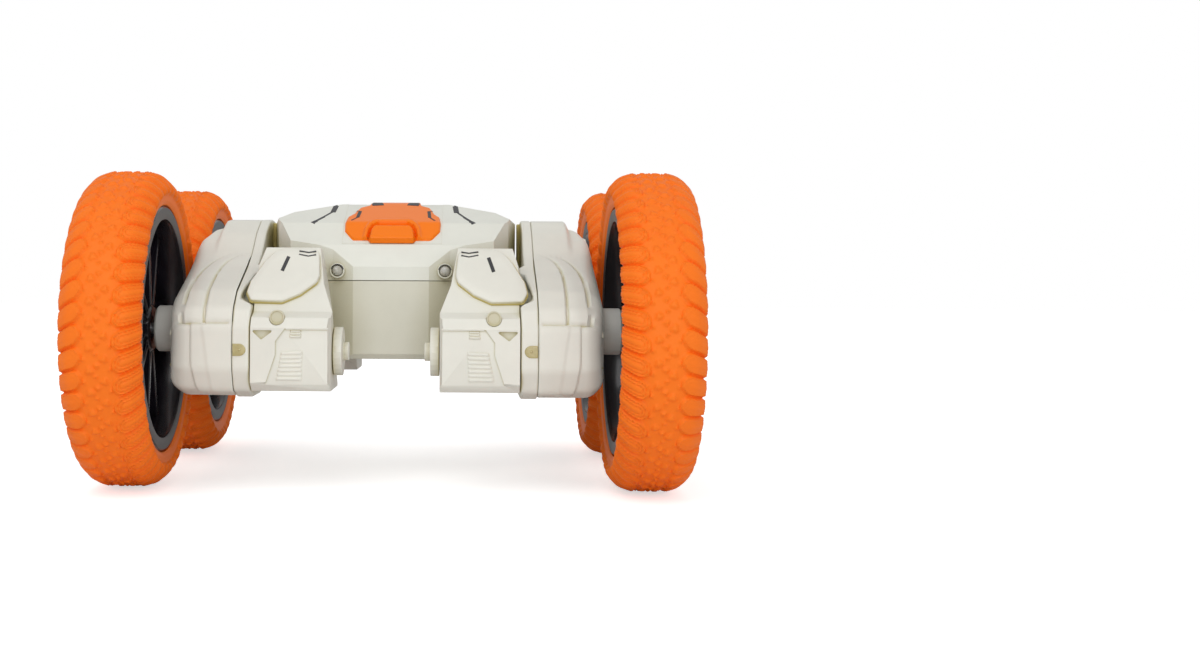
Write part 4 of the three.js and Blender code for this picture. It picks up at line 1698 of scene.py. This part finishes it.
    def lamp(self) -> bmesh.types.BMesh:
        """Shapes a round clear lamp.

        Returns:
            The lamp at the right front.
        """
        profile = [(0.0, -46.1), (0.8, -46.0), (1.5, -45.5), (1.95, -44.8), (2.1, -44.0),
                   (2.1, -39.6), (0.0, -39.6)]
        return lathe(profile, Axis.Y, (self.lamp_x, self.lamp_z), steps=40)

    def lamp_ring(self) -> bmesh.types.BMesh:
        """Shapes the ring that a lamp sits in.

        Returns:
            The ring at the right front.
        """
        profile = [(2.2, -44.3), (2.35, -44.9), (2.8, -44.9), (3.0, -44.3), (3.0, -42.0),
                   (2.2, -42.0)]
        return lathe(profile, Axis.Y, (self.lamp_x, self.lamp_z), steps=40)

    def lamp_shadow_arc(self) -> bmesh.types.BMesh:
        """Shapes the dark arc over the top of a lamp: painted shadow along the top of its
        socket.

        Returns:
            The brow at the right front.
        """
        turns = [math.radians(12 + 156 * k / 20) for k in range(21)]
        outline = [(self.lamp_x + 2.62 * math.cos(a), self.lamp_z + 2.62 * math.sin(a))
                   for a in turns]
        outline += [(self.lamp_x + 2.3 * math.cos(a), self.lamp_z + 2.3 * math.sin(a))
                    for a in reversed(turns)]
        return prism(outline, Axis.Y, -45.05, -44.7)

    def build(self) -> None:
        """Makes the body's pieces."""
        upper = carve(self.shell("upper_shell", 2.2), self.panel_bed(), Join.ADD)
        socket = lathe([(0, -47), (2.95, -47), (2.95, -43.2), (0, -43.2)], Axis.Y,
                       (self.lamp_x, self.lamp_z), steps=32)
        for side in Side:
            upper = carve(upper, at_corner(socket, Corner(side, End.FRONT)), Join.CUT)
        socket.free()
        surface = BVHTree.FromBMesh(upper)
        finish_piece(upper, "hood_shell", self.paints.shell,
                     Fitting("chassis", "shell_white", ("upper_shell",)), flat_faces=True)
        # The belly's paint is painted shade: the shell's plastic coloured as if in shadow.
        finish_piece(self.shell("lower_shell", 1.8), "belly_shell", self.paints.shaded_belly,
                     Fitting("chassis", "shell_white", ("lower_shell",)), flat_faces=True)
        finish_piece(self.seam_rib(), "seam_rib", self.paints.shaded_belly,
                     Fitting("chassis", "shell_white"))
        panel = self.panel()
        panel_surface = BVHTree.FromBMesh(panel)
        finish_piece(panel, "roof_panel", self.paints.panel,
                     Fitting("chassis", "panel_orange", ("top_panel",)))
        lamp, ring, brow = self.lamp(), self.lamp_ring(), self.lamp_shadow_arc()
        for side in Side:
            corner = Corner(side, End.FRONT)
            name = side.name.lower()
            finish_piece(at_corner(lamp, corner), f"{name}_lamp", self.paints.clear,
                         Fitting("chassis", "led_clear", (f"{name}_led",)))
            # painted shadow: a dark arc along the top of each lamp's socket
            finish_piece(at_corner(brow, corner), f"{name}_lamp_brow", self.paints.print_grey,
                         Fitting("chassis", "switch_black"))
            finish_piece(at_corner(ring, corner), f"{name}_lamp_ring", self.paints.shell,
                         Fitting("chassis", "shell_white"))
        self.print_marks(surface, panel_surface)

    def print_marks(self, shell: BVHTree, panel: BVHTree) -> None:
        """Prints the grey lines and orange dots on the roof.

        Args:
            shell: The shell's surface.
            panel: The panel's surface.
        """
        marks = [
            ("shoulder_mark_block", shell, [(24.6, -8.5), (25.2, -16.8)], 2.1, "print_grey"),
            ("shoulder_mark_line", shell, [(25.4, -16.2), (28.7, -23.2)], 0.9, "print_grey"),
            ("shoulder_mark_foot", shell, [(28.4, -22.8), (31.4, -28.6)], 1.2, "print_grey"),
            ("shoulder_mark_end", shell, [(31.0, -28.0), (32.2, -30.2)], 1.8, "print_grey"),
            ("shoulder_mark_back", shell, [(24.6, -8.7), (24.6, 8.7)], 0.9, "print_grey"),
            ("shoulder_dot", shell, [(40.4, -5.5), (43.0, -5.9)], 1.3, "print_orange"),
            ("panel_bracket_bar", panel, [(14.0, -17.5), (14.5, -25.5)], 1.3, "print_grey"),
            ("panel_bracket_foot", panel, [(14.5, -25.3), (16.7, -29.2)], 0.6, "print_grey"),
            ("panel_bracket_head", panel, [(13.5, -17.6), (16.6, -16.7)], 0.5, "print_grey"),
            ("panel_grille", panel, [(5.3, -6.2), (10.0, -7.0)], 6.2, "print_grey"),
        ]
        for name, surface, line, width, paint in marks:
            ribbons = []
            for start, end in zip(line, line[1:]):
                ribbons.append(self.ribbon(surface, Vector(start), Vector(end), width))
            work = gather(*ribbons)
            for corner in CORNERS:
                finish_piece(at_corner(work, corner), f"{corner.name}_{name}",
                             getattr(self.paints, paint), Fitting("chassis", "switch_black"))
            work.free()

    def ribbon(self, surface: BVHTree, start: Vector, end: Vector,
               width: float) -> bmesh.types.BMesh:
        """Lays a thin printed strip on a surface, seen from above.

        Args:
            surface: The surface under it.
            start: Where the strip begins, in (x, y).
            end: Where it ends.
            width: Its width.

        Returns:
            The strip.
        """
        run = end - start
        aside = Vector((-run.y, run.x)).normalized() * width
        columns = max(2, round(run.length / 0.6))

        def at(column: int, row: int) -> Point:
            """The place of a grid point.

            Args:
                column: Its column.
                row: Its row.

            Returns:
                The point.
            """
            flat = start + run * (column / columns) + aside * (row / 4 - 0.5)
            hit, normal, _, _ = surface.ray_cast(Vector((flat.x, flat.y, 130)),
                                                 Vector((0, 0, -1)))
            if hit is None:
                hit, normal, _, _ = surface.find_nearest(Vector((flat.x, flat.y, 109)))
            return tuple(hit + normal * 0.1)

        skin = drape(columns, 4, at)
        if skin.faces[0].normal.z < 0:
            bmesh.ops.reverse_faces(skin, faces=skin.faces)
        return thicken(skin, 0.12)


# ------------------------------------------------------------------------- studio
@dataclass
class Studio:
    """The pale floor, the soft lights and the camera."""

    camera_place: Point = (0.0289, -0.6360, 0.0786)
    camera_turn: float = 1.92
    camera_roll: float = 0.35
    focal_length: float = 45.6
    shift: Flat = (0.1548, -0.041)
    floor_glow: float = 0.6
    fill_strength: float = 0.63

    def floor(self) -> None:
        """Lays a wide pale floor with a faint mottle."""
        work = bmesh.new()
        bmesh.ops.create_grid(work, x_segments=4, y_segments=4, size=4.0)
        mesh = bpy.data.meshes.new("studio_floor")
        work.to_mesh(mesh)
        work.free()
        material, shader = start_material("floor_white")
        nodes, links = material.node_tree.nodes, material.node_tree.links
        shader.inputs["Roughness"].default_value = 0.9
        shader.inputs["Specular IOR Level"].default_value = 0.0
        shader.inputs["Emission Color"].default_value = (1.0, 1.0, 1.0, 1)
        mottle = nodes.new("ShaderNodeTexNoise")
        mottle.label = "faint mottle"
        mottle.location = (-500, 0)
        mottle.inputs["Scale"].default_value = 3.0
        tones = nodes.new("ShaderNodeValToRGB")
        tones.label = "pale tones"
        tones.location = (-200, 0)
        tones.color_ramp.elements[0].color = (0.90, 0.90, 0.90, 1)
        tones.color_ramp.elements[1].color = (0.92, 0.92, 0.92, 1)
        ray = nodes.new("ShaderNodeLightPath")
        ray.label = "seen directly"
        ray.location = (-200, -300)
        glow = nodes.new("ShaderNodeMath")
        glow.label = "backlit floor"
        glow.location = (100, -300)
        glow.operation = "MULTIPLY"
        glow.inputs[1].default_value = self.floor_glow
        links.new(mottle.outputs["Fac"], tones.inputs["Fac"])
        links.new(tones.outputs["Color"], shader.inputs["Base Color"])
        links.new(ray.outputs["Is Camera Ray"], glow.inputs[0])
        links.new(glow.outputs["Value"], shader.inputs["Emission Strength"])
        mesh.materials.append(material)
        floor = bpy.data.objects.new("studio_floor", mesh)
        bpy.context.scene.collection.objects.link(floor)

    def light(self, name: str, place_at: Point, aim: Point, size: float, watts: float) -> None:
        """Hangs a soft square light.

        Args:
            name: The light's name.
            place_at: Where it hangs.
            aim: The point that it faces.
            size: The length of its sides.
            watts: Its power.
        """
        lamp = bpy.data.lights.new(name, "AREA")
        lamp.size = size
        lamp.energy = watts
        rig = bpy.data.objects.new(name, lamp)
        rig.location = place_at
        rig.rotation_euler = (Vector(aim) - Vector(place_at)).to_track_quat("-Z", "Y").to_euler()
        bpy.context.scene.collection.objects.link(rig)

    def world(self) -> None:
        """Fills the studio with even white light."""
        world = bpy.data.worlds.new("studio")
        world.use_nodes = True
        nodes, links = world.node_tree.nodes, world.node_tree.links
        nodes.clear()
        output = nodes.new("ShaderNodeOutputWorld")
        output.label = "studio"
        output.location = (400, 0)
        fill = nodes.new("ShaderNodeBackground")
        fill.label = "even fill"
        fill.location = (-100, 100)
        fill.inputs["Color"].default_value = (1.0, 1.0, 1.0, 1)
        fill.inputs["Strength"].default_value = self.fill_strength
        backdrop = nodes.new("ShaderNodeBackground")
        backdrop.label = "white backdrop"
        backdrop.location = (-100, -100)
        backdrop.inputs["Strength"].default_value = 1.0
        backdrop.inputs["Color"].default_value = (1.0, 1.0, 1.0, 1)
        ray = nodes.new("ShaderNodeLightPath")
        ray.label = "seen directly"
        ray.location = (-400, 0)
        choose = nodes.new("ShaderNodeMixShader")
        choose.label = "fill or backdrop"
        choose.location = (150, 0)
        links.new(ray.outputs["Is Camera Ray"], choose.inputs["Fac"])
        links.new(fill.outputs["Background"], choose.inputs[1])
        links.new(backdrop.outputs["Background"], choose.inputs[2])
        links.new(choose.outputs["Shader"], output.inputs["Surface"])
        bpy.context.scene.world = world

    def camera(self) -> None:
        """Sets the camera in front of the car."""
        data = bpy.data.cameras.new("camera")
        data.lens = self.focal_length
        data.sensor_width = 36.0
        data.shift_x, data.shift_y = self.shift
        data.clip_end = 50.0
        rig = bpy.data.objects.new("camera", data)
        turn = Matrix.Rotation(math.radians(self.camera_turn), 4, "Z")
        upright = Matrix.Rotation(math.radians(90), 4, "X")
        roll = Matrix.Rotation(math.radians(self.camera_roll), 4, "Z")
        rig.matrix_world = Matrix.Translation(self.camera_place) @ turn @ upright @ roll
        bpy.context.scene.collection.objects.link(rig)
        bpy.context.scene.camera = rig
        bpy.context.scene.view_settings.view_transform = "Standard"

    def build(self) -> None:
        """Sets the studio up."""
        self.floor()
        self.world()
        self.light("key", (-0.3, -0.9, 1.1), (0, 0, 0.06), 0.8, 4.0)
        self.light("front_fill", (0.3, -1.4, 0.16), (0, 0, 0.06), 0.9, 5.4)
        self.camera()


def main() -> None:
    """Builds the car and its studio, piece by piece."""
    logging.basicConfig(level=logging.INFO, format="%(message)s")
    paints = Paints()
    Studio().build()
    Wheel(paints).build()
    Arms(paints).build()
    Body(paints).build()
    dress_frame(paints)


if __name__ == "__main__":
    main()
